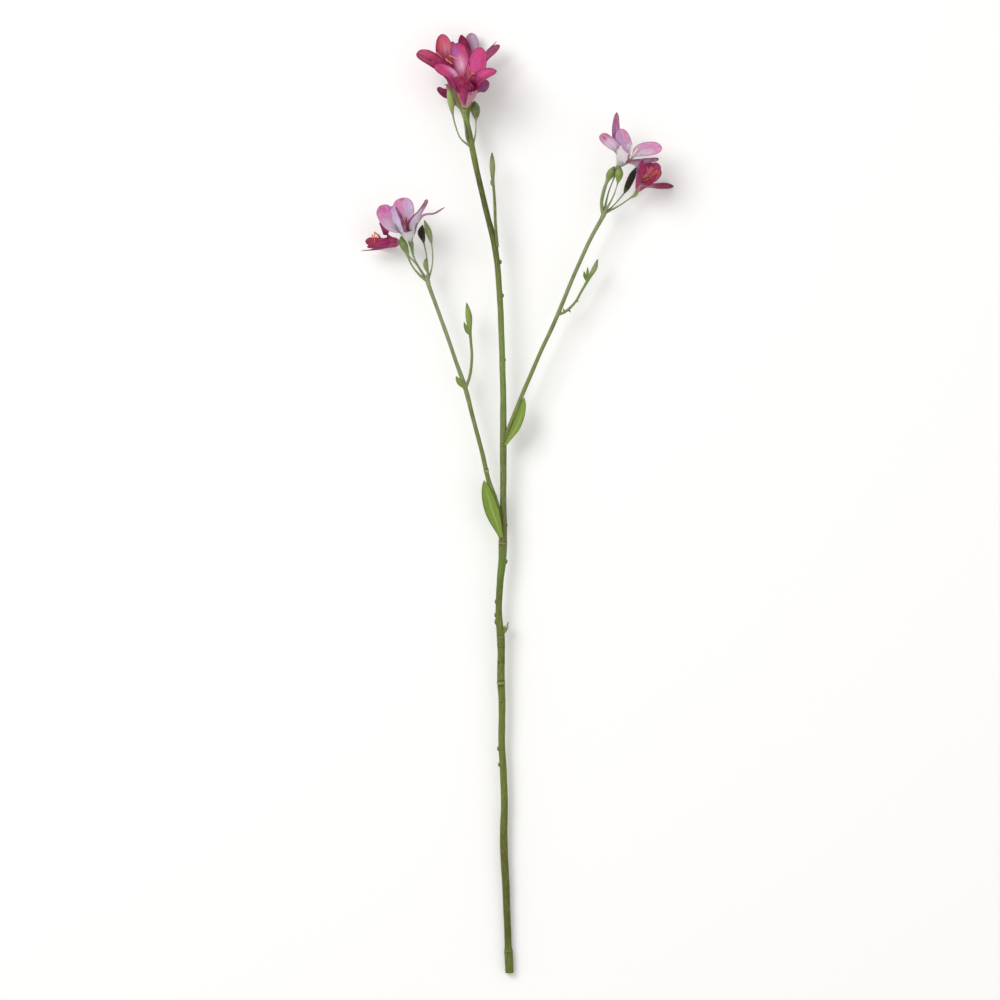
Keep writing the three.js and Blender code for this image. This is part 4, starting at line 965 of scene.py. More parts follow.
def bellFloor(user):
    # The closed floor of the bell, a flat cone that the stamens stand on
    foot, ahead = axesOf(user)[:2]
    size = user["size"]
    points = [(*(foot + ahead * along * size), radius * size) for along, radius in floorProfile]
    throat = user.get("throat", petalDyes[user["dyes"]]["throat"])
    return limb(points, "bellFloor", None, fatterDye(*floorDyes, throat, fatRadius=(1.5, 2.6), tipLength=2))


stamenDyes = {
    "orange": {"filament": "#E0866C", "anther": "#D9683E", "tip": "#A8482C", "pistil": "#EBA184"},
    "cream": {"filament": "#E8DACE", "anther": "#E2D2BE", "tip": "#8A6658", "pistil": "#E6DCCB"},
}
stamenShape = {
    "reach": 28.0,  # from the bell's foot to the anthers, in mm on a bloom of size 1
    "floor": 4, "throat": 0.6,  # mm up to the bell's floor, and the share of the way where filaments part
    "footOut": 0.7, "throatOut": 0.5,  # from the bell's middle: mm, and the share of the spread
    "antherRun": (0.9, 1.14),  # its start and end where a bloom doesn't say, in shares of the reach
    # Along an anther: the place, a radius in mm, and the share of the anther's own radius added to it
    "swelling": ((0, 0.3, 0), (0.12, 0, 0.8), (0.45, 0, 1), (0.8, 0, 0.75), (1, 0.2, 0)),
    "antherDyeIn": (0.45, 0.6), "tipLength": 1.2,
    "pistilEnd": 2, "stigmaOut": 1.5,  # mm below where the anthers start, and mm out from there
    "sunk": 0.3, "raised": 0.6, "overlap": 0.4,  # mm by which the pieces' ends run into each other
    "filament": (0.42, 0.36), "pistil": (0.6, 0.48, 0.42), "stigma": (0.34, 0.28),  # radii in mm
    "turns": (60, 180, 300),
}


def antherRelief(angle, length, radius):
    # Two pollen sacs side by side: a groove, |cos a|^6, down both middles of the fat part
    groove, fatRadius = 0.22, (0.45, 0.7)
    return -groove * radius * smooth(*fatRadius, radius) * np.abs(np.cos(angle)) ** 6


def stamens(user):
    # Three filaments with anthers round a pistil that ends in three stigmas, on the bell's floor. Each
    # runs up the bell, out * spread from its axis, and on to where its anther starts and ends.
    foot, ahead, around = axesOf(user)
    shape, size = stamenShape, user["size"]
    reach = shape["reach"] * size * user["reach"]
    dyes = stamenDyes[user["stamens"]]
    fat, floor, spread = user["antherRadius"] * size, shape["floor"] * size, user["spread"] * size
    turns = [user["turn"] + turn for turn in shape["turns"]]

    def at(along, out, degrees):
        return foot + ahead * along + around(degrees) * out

    ends = user["anthers"]
    if ends is None:
        ends = [[at(reach * share, spread * share, turn) for share in shape["antherRun"]] for turn in turns]
    middle = np.mean([start for start, end in ends], axis=0) - ahead * shape["pistilEnd"] * size
    throat = shape["throat"] * np.linalg.norm(middle - foot)
    pistilRun = (at(floor - shape["sunk"], 0, 0), at(throat, 0, 0), middle)
    pistil = [(*place, radius) for place, radius in zip(pistilRun, shape["pistil"])]
    parts = [limb(pistil, "pistil", None, fatterDye(dyes["pistil"], dyes["pistil"], dyes["pistil"]))]
    for degrees, (start, end) in zip(turns, ends):
        start, end = np.array(start, float), np.array(end, float)
        filament = [
            (*at(floor + shape["raised"], shape["footOut"] * size, degrees), shape["filament"][0]),
            (*at(throat, spread * shape["throatOut"], degrees), shape["filament"][1]),
        ]
        for place, radius, fatShare in shape["swelling"]:
            filament.append((*(start + (end - start) * place), radius + fatShare * fat))
        dyeIn = (shape["antherDyeIn"][0], shape["antherDyeIn"][1] * size)
        dye = fatterDye(dyes["filament"], dyes["anther"], dyes["tip"], dyeIn, shape["tipLength"])
        parts.append(limb(filament, "stamen", antherRelief, dye))
        reached = middle + around(degrees + tepalStep) * shape["stigmaOut"] * size + ahead
        stigmaFoot = middle - ahead * shape["overlap"]
        stigma = [(*stigmaFoot, shape["stigma"][0]), (*reached, shape["stigma"][1])]
        parts.append(limb(stigma, "stigma", None, fatterDye(dyes["pistil"], dyes["pistil"], dyes["tip"])))
    return joined(parts)


usualBloom = {
    "size": 1.0, "belly": 0.0, "dyes": "magenta", "skin": "magentaTepalSkin", "slot": "magenta_petal",
    "stamens": "orange", "stamenSlot": "stamen", "reach": 1.0, "spread": 4.0, "antherRadius": 0.72,
    "anthers": None,  # or where each of the three anthers starts and ends
}
# A bloom's foot is the bell's lower end; its mouth is what the bell points at, and turn rolls it, in degrees
blooms = {
    "top_front": {
        "foot": (-41.7, 314.9, 31), "mouth": (-38.8, 340.5, 50), "turn": -15, "size": 1.12,
        "anthers": [
            ((-37.8, 341.2, 54), (-38.6, 345.2, 59)), ((-39.8, 340.4, 54.5), (-41.6, 342.6, 59)),
            ((-36.6, 339.8, 55), (-33.4, 340.2, 60)),
        ],
        "tepals": [
            {
                "line": [(-42, 331, 54), (-42.5, 337.6, 60.3), (-43.3, 335, 66), (-44, 327.6, 66.5)],
                "widths": [(0.3, 13.5), (0.6, 15.4), (0.8, 12), (1, 1.6)], "root": 1.3, "neck": 1.3,
                "hollows": [(0.25, 0.1), (0.55, -0.45), (1, -0.2)],
                "inner": ("#B8324E", "#8E1038", "#7E0C34"), "outer": ("#9E3460", "#9A1048", "#961040"),
                "rim": "#6E1436", "patches": [("outer", 0.5, -0.1, 0.2, 0.6, "#6A2150", 0.85)],
            },
            {
                "line": [(-31.6, 335.4, 55), (-24, 340.4, 57.5), (-16.2, 342.4, 57)],
                "face": (-0.2, 0.3, 1), "widths": [(0.3, 11.5), (0.6, 10.5), (0.85, 7.5), (1, 3.4)],
                "root": 1.3, "neck": 1.3, "inner": ("#781832", "#A83668", "#AC3267"),
                "outer": ("#C48A9C", "#B04C78", "#98385F"),
                "patches": [
                    # darker crimson low on the inner side: partly the tepal's own colour and partly painted
                    # shade
                    ("inner", -0.3, 0.42, 0.9, 0.24, "#7E1234", 0.95),
                    ("inner", 0.2, 0.3, 0.9, 0.2, "#640A26", 0.9),
                    ("inner", 0.25, 0.75, 0.4, 0.2, "#D4508E", 0.8),
                ],
            },
            {
                "line": [(-29, 328.6, 40), (-22.4, 335.1, 38)], "width": 12, "face": (-0.5, 0.5, -0.7),
                "inner": ("#7A3A64", "#823F67", "#8A4A78"), "outer": ("#8A6A70", "#823F67", "#7C3A66"),
            },
            {
                "line": [(-33.8, 341.1, 42), (-28.6, 362, 47)], "face": (-0.1, -0.3, 1),
                "widths": [(0.25, 13.5), (0.5, 15.4), (0.82, 13), (1, 6)],
                "inner": ("#E48CB4", "#DA5498", "#C84880"),
                "patches": [
                    ("inner", -0.6, 0.7, 0.35, 0.3, "#A8305E", 0.6),
                    ("inner", 0.5, 0.35, 0.3, 0.2, "#D878A8", 0.7),
                    ("inner", -0.5, 0.2, 0.4, 0.15, "#9A1C48", 0.6),
                ],
            },
            {
                "line": [(-43, 341.1, 42), (-48.1, 365.4, 47)], "width": 13.8, "face": (0.1, -0.3, 1),
                "widest": 0.75, "inner": ("#F0BCD0", "#D9709F", "#B83C70"),
                "patches": [
                    ("inner", 0.5, 0.82, 0.38, 0.14, "#A464B4", 0.95),
                    ("inner", 0.05, 0.58, 0.35, 0.14, "#F6CCDC", 0.95),
                    ("inner", 0.55, 0.56, 0.3, 0.12, "#D49ABC", 0.8),
                    ("inner", 0.85, 0.55, 0.2, 0.4, "#7A2050", 0.6),
                    ("inner", -0.9, 0.6, 0.18, 0.4, "#7A2050", 0.7),
                ],
            },
            {
                "line": [(-52.5, 339.4, 54), (-65.9, 346.2, 58)], "width": 10.5, "face": (0.2, 0.3, 1),
                "neck": 1.3, "inner": ("#DE9CBE", "#CA4C88", "#B93A70"),
                "patches": [
                    ("inner", -0.6, 0.5, 0.35, 0.18, "#F2C6DC", 0.95),
                    ("inner", 0.9, 0.6, 0.25, 0.4, "#8A2450", 0.7),
                    ("inner", -0.9, 0.42, 0.3, 0.14, "#C8A6C8", 0.85),
                ],
            },
        ],
    },
    "top_left": {
        "foot": (-46.4, 323.9, 17), "mouth": (-54.6, 351.3, 34), "turn": -30, "size": 0.9,
        # The throat dye is near-black crimson: painted shade deep inside the tube
        "throat": "#680A38", "antherRadius": 0.6,
        "anthers": [
            ((-53.6, 355.4, 47), (-46, 351.6, 52)), ((-56.4, 352.4, 46.4), (-51.3, 348.4, 50)),
            ((-60.5, 354.8, 42), (-64.8, 359, 46)),
        ],
        "tepals": [
            {
                "line": [(-55.5, 344.5, 40), (-62, 348.8, 43.5), (-68.2, 351.4, 45)],
                "widths": [(0.35, 8.6), (0.7, 9.6), (0.9, 8.5), (1, 5)], "face": (0.3, 0.1, -1),
                "outer": ("#8A2C5D", "#92244E", "#9A2450"),
                "patches": [("outer", 0.3, 0.25, 0.5, 0.25, "#7C2264", 0.8)],
            },
            {"line": [(-49.4, 340.6, 36), (-46.6, 346.4, 36)], "width": 8},
            {
                "line": [(-46.3, 348.6, 28), (-44.3, 358.9, 29)], "width": 9,
                "inner": ("#7A1840", "#9A3A5C", "#B0647A"),
            },
            {
                "line": [(-50.6, 352.1, 24), (-51.6, 368.5, 24)], "width": 8, "face": (0, -0.2, 1),
                "inner": ("#7A1840", "#B46A80", "#A88890"),
            },
            {
                "line": [(-56.7, 353.5, 26), (-60, 373.9, 30)], "width": 14.2, "face": (0.1, -0.2, 1),
                "widest": 0.6, "inner": ("#8A1C44", "#C8648A", "#CA5478"),
                "patches": [
                    ("inner", 0.25, 0.8, 0.3, 0.12, "#E0705A", 0.85),
                    ("inner", -0.65, 0.66, 0.3, 0.16, "#DE7C68", 0.8),
                    ("inner", 0.9, 0.5, 0.3, 0.6, "#7E1C46", 0.85),
                    ("inner", -0.1, 0.72, 0.14, 0.12, "#E8B4BE", 0.7),
                    ("inner", -0.5, 0.72, 0.15, 0.1, "#DFA0A8", 0.6),
                    ("inner", 0, 0.46, 1.2, 0.2, "#680A38", 0.95),
                ],
            },
            {
                "line": [(-58.2, 344.7, 32), (-68.5, 352.6, 38), (-79.7, 358.6, 36)], "width": 12.2,
                "face": (0.2, 0.3, 1), "cup": 0.34, "widest": 0.68, "neck": 0.8, "sharp": 0.42,
                "inner": ("#7A1537", "#A02C54", "#A8405F"),
                "patches": [
                    # a near-black strip along the middle: painted shade on the inner side
                    ("inner", 0.1, 0.55, 0.13, 0.42, "#480820", 1),
                    ("inner", -0.5, 0.6, 0.4, 0.3, "#B84468", 0.6),
                    ("inner", 0.9, 0.5, 0.25, 0.6, "#6A2844", 0.7),
                ],
            },
        ],
    },
    "top_back": {
        "foot": (-37.2, 322.3, 17), "mouth": (-33.6, 352.7, 16), "turn": 0, "size": 0.9, "reach": 0.75,
        "spread": 1.6, "throat": "#8A2040", "outer": ("#B8A894", "#9A5470", "#8E3B59"),
        "tepals": [
            {"line": [(-33.6, 347.2, 25), (-31.9, 359.8, 28)], "width": 9},
            {
                "line": [(-28.3, 351.6, 20), (-13.9, 365.8, 22)], "width": 7, "face": (-0.3, 0.3, 1),
                "widest": 0.75, "inner": ("#A2A07C", "#9A4A68", "#8E3B5C"), "rim": "#4C1C38",
            },
            {
                "line": [(-29.6, 353, 12), (-16.2, 369.4, 14)], "width": 5, "face": (-1, 0.3, 0.2),
                "inner": ("#8A5A70", "#6E4A60", "#5E4058"), "outer": ("#A08A8C", "#6E4A60", "#5E4058"),
            },
            {
                "line": [(-36, 353.4, 7), (-36.5, 376.5, 9)], "width": 11.6, "face": (0, -0.2, 1),
                "widest": 0.75, "inner": ("#BD759B", "#BCA0B8", "#B4A2B8"),
                "patches": [
                    ("inner", 0.6, 0.75, 0.35, 0.25, "#A04870", 0.8),
                    ("inner", -0.4, 0.5, 0.3, 0.35, "#C6B8D0", 0.8),
                    ("inner", 0.9, 0.4, 0.25, 0.3, "#8E2C54", 0.8),
                ],
            },
            {
                "line": [(-40.8, 354.7, 11), (-44.8, 374.7, 16)], "width": 10.6, "face": (0.2, -0.2, 1),
                "widest": 0.66, "sharp": 0.8, "inner": ("#8A1A44", "#931F4C", "#821A42"),
            },
            {"line": [(-42.3, 348.9, 24), (-44.7, 360.8, 25)], "width": 9},
        ],
    },
    "top_small": {
        "foot": (-47.5, 318.2, 11.4), "mouth": (-56, 327.6, 10), "turn": 0, "size": 0.55, "reach": 0.7,
        "spread": 2.4, "dyes": "crimson",
        "tepals": [
            {
                "line": [(-58.4, 327.1, 17), (-63.5, 332.4, 16)], "width": 6, "face": (0.3, 0.3, 1),
                "inner": ("#7A2444", "#7C2450", "#722C4C"),
            },
            {
                "line": [(-52.5, 329.7, 14), (-53.9, 334.1, 15), (-58.1, 334.6, 16)], "width": 4.6,
                "inner": ("#8A4440", "#A4684C", "#9A5A48"), "outer": ("#8A6A50", "#B07A58", "#A86A50"),
            },
            {"line": [(-54, 331, 7), (-56.5, 334.3, 5)], "width": 5},
            {"line": [(-56.9, 328.9, 3), (-60.1, 331.7, 1.6)], "width": 6},
            {"line": [(-56.4, 326.3, 5), (-60.1, 328.3, 4)], "width": 5},
            {"line": [(-55.5, 324.2, 12), (-59.6, 326.9, 12)], "width": 5},
        ],
    },
    "left_pale": {
        "foot": (-85, 208.5, 24), "mouth": (-89.9, 227.4, 43), "turn": 30, "spread": 2.2, "belly": -0.7,
        "anthers": [
            ((-88.4, 222.5, 39.5), (-88, 227.5, 43.5)), ((-89.8, 222.5, 38.5), (-90.6, 225.4, 42)),
            ((-87, 222.5, 38.5), (-86, 225.4, 42)),
        ],
        "dyes": "pale", "skin": "paleTepalSkin", "slot": "pale_petal",
        "tepals": [
            {
                "line": [(-82.8, 222.5, 46), (-77.9, 230.3, 48), (-74.2, 236, 46), (-71.2, 241.2, 45)],
                "widths": [(0.25, 12.5), (0.52, 8.4), (0.68, 4.6), (0.85, 3.9), (1, 3.4)],
                "face": (-0.3, 0, -1), "neck": 1.5, "rolls": [(-1, 0.34, -165, 0.15, 0.9)],
                "inner": ("#A85478", "#8A3A62", "#8A3A5C"), "outer": ("#DAD9CE", "#C6BAC6", "#9A5E7C"),
                "patches": [
                    ("outer", -0.4, 0.45, 0.4, 0.2, "#B8A8CC", 0.7),
                    ("outer", 0, 1, 1, 0.14, "#8A4262", 0.85),
                ],
            },
            {
                "line": [(-78.9, 223.2, 37), (-74.4, 228.8, 37), (-65.4, 230.6, 36), (-57.4, 235.6, 35)],
                "widths": [(0.25, 7), (0.45, 4.4), (0.8, 3.6), (1, 1.6)], "face": (-0.4, 1, 0.5),
                "inner": ("#CDB8BE", "#AC7C92", "#80566A"), "outer": ("#CDB8BE", "#AC7C92", "#80566A"),
            },
            {
                "line": [(-88.9, 224.8, 30), (-91.4, 243.3, 31)], "width": 17, "face": (0, -0.2, 1),
                "widest": 0.62, "sharp": 0.42, "inner": ("#C8B8CC", "#CCA2C2", "#D085B2"),
                "patches": [
                    ("inner", 0.6, 0.65, 0.5, 0.4, "#D97CB0", 0.9),
                    ("inner", -0.65, 0.6, 0.4, 0.5, "#BBAECB", 0.95),
                    ("inner", 0.2, 0.97, 0.5, 0.06, "#8A4466", 0.6),
                ],
            },
            {"line": [(-96.6, 227.4, 27), (-100.6, 236.7, 26)], "width": 9, "face": (0.2, -0.2, 1)},
            {
                "line": [(-98.8, 221.6, 38), (-109.6, 236, 41)], "face": (0.3, 0.2, 1),
                "widths": [(0.12, 14), (0.55, 17), (0.85, 13.5), (1, 7)], "root": 1.1, "neck": 1.6,
                "inner": ("#D6D4D0", "#D2BCD0", "#C95CA0"),
                "patches": [
                    # blue-grey at its foot: painted shadow at the bell's lower-left
                    ("inner", 0.5, 0.06, 0.5, 0.12, "#8A84AC", 0.7),
                    ("inner", -0.4, 0.75, 0.7, 0.28, "#CB5EA2", 0.8),
                    ("inner", 0.7, 0.75, 0.3, 0.3, "#D58AC0", 0.6),
                ],
            },
            {
                "line": [(-92.4, 220.8, 50), (-95, 228.4, 54), (-98.2, 235.6, 55)],
                "widths": [(0.3, 12.6), (0.6, 13), (0.85, 10), (1, 5)], "face": (0.4, 0, -1), "neck": 1.5,
                "rolls": [(1, 0.5, -165, 0.34, 0.96)], "inner": ("#B0405A", "#7C2850", "#743053"),
                "outer": ("#E0DFD6", "#CBC2D6", "#C0A2CC"),
                "patches": [
                    # blue-grey at its foot: painted shadow at the bell's lower-left
                    ("outer", -0.6, 0, 0.4, 0.16, "#6C6488", 0.85),
                    ("outer", -0.7, 0.9, 0.4, 0.2, "#B070B0", 0.7),
                ],
            },
        ],
    },
    "left_magenta": {
        "foot": (-93.5, 208, 19), "mouth": (-107.2, 208.9, 17), "turn": 0, "size": 0.72, "spread": 2.0,
        "anthers": [
            ((-113.9, 216.4, 27), (-113.6, 207.4, 28.9)), ((-110.8, 214.6, 26.4), (-112.5, 210.6, 28.7)),
            ((-116, 214, 26.4), (-114.8, 210.2, 28.7)),
        ],
        "dyes": "crimson", "belly": 1.3, "antherRadius": 0.5,
        "tepals": [
            {
                "line": [(-107.8, 207.4, 25), (-121.1, 208.9, 24)], "width": 8.2, "face": (0.3, 0.5, -1),
                "widest": 0.66, "neck": 1.35, "outer": ("#932058", "#9C2C58", "#96364E"),
                "patches": [
                    ("outer", 0, 0.85, 1, 0.18, "#8C2C48", 0.7),
                    ("outer", 0.2, 0.2, 0.6, 0.25, "#A82A6A", 0.6),
                ],
            },
            {
                "line": [(-102.9, 214.2, 21), (-106, 219.4, 22), (-109.9, 224, 22)],
                "face": (0.3, -0.8, 0.6), "widths": [(0.35, 6), (0.7, 4.4), (1, 1)], "neck": 1.3,
                "inner": ("#7A2048", "#802746", "#6A1E3C"), "outer": ("#8A2850", "#802746", "#6A1E3C"),
            },
            {"line": [(-104, 210.6, 9), (-109, 210, 6)], "width": 7},
            {"line": [(-106.6, 208.5, 5), (-117.2, 209.5, 0.4)], "width": 8},
            {
                "line": [(-109.6, 203.2, 13), (-124.9, 201.8, 13)], "face": (0.2, 1, 0.2),
                "widths": [(0.3, 6.4), (0.6, 5.4), (0.8, 3), (1, 1)], "neck": 1.3,
                "inner": ("#9A4C68", "#8E4058", "#7C4B5C"), "outer": ("#9A4C68", "#8E4058", "#7C4B5C"),
                "patches": [
                    ("outer", 0, 1, 2, 0.14, "#5E666A", 0.95), ("inner", 0, 1, 2, 0.14, "#5E666A", 0.95),
                ],
            },
            {"line": [(-106.3, 204.4, 20), (-119.8, 204.6, 20)], "width": 6, "widest": 0.7, "neck": 1.3},
        ],
    },
    "right_pale": {
        "foot": (80.9, 268.7, 24), "mouth": (88.3, 281, 38), "turn": 30, "stamens": "cream",
        "stamenSlot": "cream_stamen", "spread": 2.2,
        "anthers": [
            ((89.6, 277, 44), (91.4, 285.4, 49)), ((91.6, 276, 44), (96, 281.8, 48)),
            ((87.6, 280, 42), (88.8, 286, 48)),
        ],
        "dyes": "pale", "skin": "paleTepalSkin", "slot": "pale_petal", "antherRadius": 0.72,
        "throat": "#D8CCBE",
        "tepals": [
            {
                "line": [(92.5, 270.6, 40.5), (102, 272.4, 43.5), (112.6, 273.4, 44)],
                "widths": [(0.2, 12), (0.42, 8.6), (0.62, 5.6), (0.85, 4.8), (1, 3.8)],
                "hollows": [(0.2, 0.25), (0.45, 0.05), (1, 0.05)], "face": (0.1, 0.5, -0.85), "neck": 1.5,
                "rolls": [(-1, 0.4, -160, 0.0, 0.95)], "wave": 0.02,
                "inner": ("#A0506C", "#8C3A5C", "#7F4A5C"), "outer": ("#C3C4BC", "#9E6A80", "#8A4464"),
                "patches": [
                    ("outer", -0.5, 1, 0.7, 0.06, "#5A3040", 0.85),
                    ("outer", 0.6, 0.3, 0.5, 0.3, "#A8AAA4", 0.7),
                ],
            },
            {
                "line": [(97.9, 280.2, 35), (115.4, 282.8, 36)], "width": 11.4, "face": (-0.2, 0.2, 1),
                "inner": ("#D8CED2", "#C7A8C0", "#CE84AC"),
                "patches": [
                    ("inner", 0.5, 0.7, 0.5, 0.4, "#D07CA8", 0.8),
                    ("inner", -0.6, 0.4, 0.5, 0.3, "#D0C4D0", 0.7),
                    ("inner", 0.1, 0.4, 0.05, 0.03, "#7A3A5C", 0.8),
                    ("inner", -0.7, 0.42, 0.12, 0.03, "#7A3A5C", 0.7),
                ],
            },
            {
                "line": [(85.2, 287, 31), (81.8, 298.2, 32)], "width": 12.4, "face": (0, -0.2, 1),
                "widest": 0.5, "inner": ("#C0B4D2", "#C6A2C8", "#B87A9E"),
                "patches": [
                    ("inner", -0.5, 0.75, 0.4, 0.3, "#CE7CA4", 0.8),
                    ("inner", 0.6, 0.6, 0.4, 0.4, "#A890C4", 0.6),
                    ("inner", -0.1, 0.5, 0.06, 0.03, "#6A4878", 0.9),
                ],
            },
            {
                "line": [(78.9, 294.3, 29), (79.4, 311.6, 30)],
                "widths": [(0.3, 8.4), (0.6, 6.6), (0.85, 4.8), (1, 1.6)], "face": (0.3, -0.2, 1),
                "inner": ("#A27CB0", "#A8629A", "#A8587C"), "rim": "#5A2A4C",
                "patches": [
                    ("inner", -0.6, 0.45, 0.45, 0.25, "#8A76B0", 0.75),
                    ("inner", 0.3, 0.8, 0.5, 0.2, "#B4567C", 0.7),
                ],
            },
            {
                "line": [(76, 284.4, 33), (66.2, 293.3, 34)], "width": 9.6, "face": (0.3, 0.2, 1),
                "sharp": 0.42, "neck": 1.5, "inner": ("#C4CACA", "#D8BED0", "#C478A0"),
                "patches": [
                    ("inner", 0, 0.8, 0.24, 0.09, "#A82458", 0.95),
                    ("inner", 0, 0.62, 0.4, 0.1, "#E0B4CC", 0.8),
                    ("inner", -0.8, 0.7, 0.25, 0.4, "#A8486E", 0.6),
                ],
            },
            {
                "line": [(82.6, 277, 43), (85.2, 281.4, 47.4)], "neck": 1.5,
                "widths": [(0.3, 13.5), (0.65, 13.4), (0.9, 12), (1, 10.5)], "rim": "#8C5660",
                "hollows": [(0.3, 0.3), (0.7, 0.16), (1, 0.1)], "outer": ("#C3C8C0", "#D6CDD0", "#DCC6CE"),
                "rolls": [(-1, 0.14, -140, 0.4, 0.9)],
                "patches": [("outer", 0, 1, 1.3, 0.07, "#965E6C", 0.9)],
            },
        ],
    },
    "right_magenta": {
        "foot": (95.9, 249.1, 20), "mouth": (104.4, 263.9, 30), "turn": 0, "size": 0.85,
        "anthers": [
            ((104.2, 262, 33), (103.4, 267.6, 38)), ((106.4, 262, 33), (107.9, 267.6, 38)),
            ((108.8, 261.4, 33), (111.8, 265.6, 38)),
        ],
        "antherRadius": 0.8, "throat": "#D05C74", "dyes": "crimson",
        "tepals": [
            {
                "line": [(104.4, 254.6, 35), (112.3, 262.4, 37)],
                "widths": [(0.35, 7), (0.7, 5.6), (0.9, 3.6), (1, 1.6)], "face": (0.2, 0.6, -0.8),
                "neck": 1.2, "outer": ("#B07C88", "#8E2038", "#98303E"),
                "rolls": [(-1, 0.16, -140, 0.2, 0.95)], "inner": ("#C8909C", "#D89CAC", "#C87C90"),
                "rim": "#B46C84",
            },
            {
                "line": [(110, 260.8, 29), (114.8, 265.2, 30)], "width": 9, "face": (-0.4, 0.3, 1),
                "inner": ("#E48C98", "#DC6C80", "#A83858"),
                "patches": [("inner", 0, 0.45, 0.6, 0.4, "#F08C60", 0.8)],
            },
            {
                "line": [(108.1, 253.4, 12), (125.9, 254.4, 0.4)], "width": 5.8, "face": (-0.2, 0.4, 1),
                "root": 0.6, "neck": 0.55, "widest": 0.7, "sharp": 0.8,
                "inner": ("#C8AAB4", "#96405E", "#86284C"), "outer": ("#C8AAB4", "#96405E", "#86284C"),
                "patches": [
                    ("inner", 0, 1, 2, 0.08, "#5E4A5A", 0.9), ("inner", 0, 0.62, 0.2, 0.2, "#A8345C", 0.7),
                    ("inner", 0, 0.25, 2, 0.15, "#C09AA6", 0.9),
                ],
            },
            {
                "line": [(108.7, 264.6, 18), (112.4, 271.9, 17)], "width": 10, "face": (0, -0.2, 1),
                "inner": ("#F09C90", "#E87098", "#B83878"),
            },
            {
                "line": [(103.9, 264.6, 18), (105.2, 273.5, 19)], "width": 9, "face": (0.1, -0.2, 1),
                "inner": ("#E07884", "#DC5C90", "#A43068"),
            },
            {
                "line": [(95.8, 260.6, 38.6), (98, 267.4, 46.8), (99.8, 273, 48.8)],
                "widths": [(0.35, 11), (0.65, 9.4), (0.88, 5), (1, 1.6)], "face": (0.8, 0, -0.6),
                "neck": 1.3, "outer": ("#A03462", "#7C1E50", "#861A42"),
                "inner": ("#A83858", "#8A1C44", "#8A1C44"),
                "patches": [
                    ("outer", -0.55, 0.55, 0.5, 0.35, "#6C3084", 0.9),
                    ("outer", 0.5, 0.75, 0.5, 0.3, "#961844", 0.8),
                    ("outer", 0.2, 0.15, 0.7, 0.2, "#A22A5A", 0.7),
                ],
            },
        ],
    },
}
for name in blooms:
    blooms[name] = {**usualBloom, **blooms[name]}
    user = blooms[name]
    perianth = joined([*(tepal(user, index) for index in range(6)), bellFloor(user)])
    makePiece(name + "_tepals", perianth, finish[user["skin"]], name + "_petals")
    stamenSkin = finish[user["stamens"] + "StamenSkin"]
    makePiece(name + "_anthers", stamens(user), stamenSkin, name + "_stamens")
print("blooms made,", len(blooms))


# Heads of stalks and buds

# A receptacle under each bloom: distance below the bell's foot and radius, in mm on a bloom of size 1
receptacle = ((4.5, 1.7), (2.2, 2.1), (0.6, 1.9), (-0.7, 2.2))
budDyes = {"stalk": "#848E66", "tip": "#4A5A28"}
darkBudDyes = ("#55603A", "#2C2B1A", "#14140C")
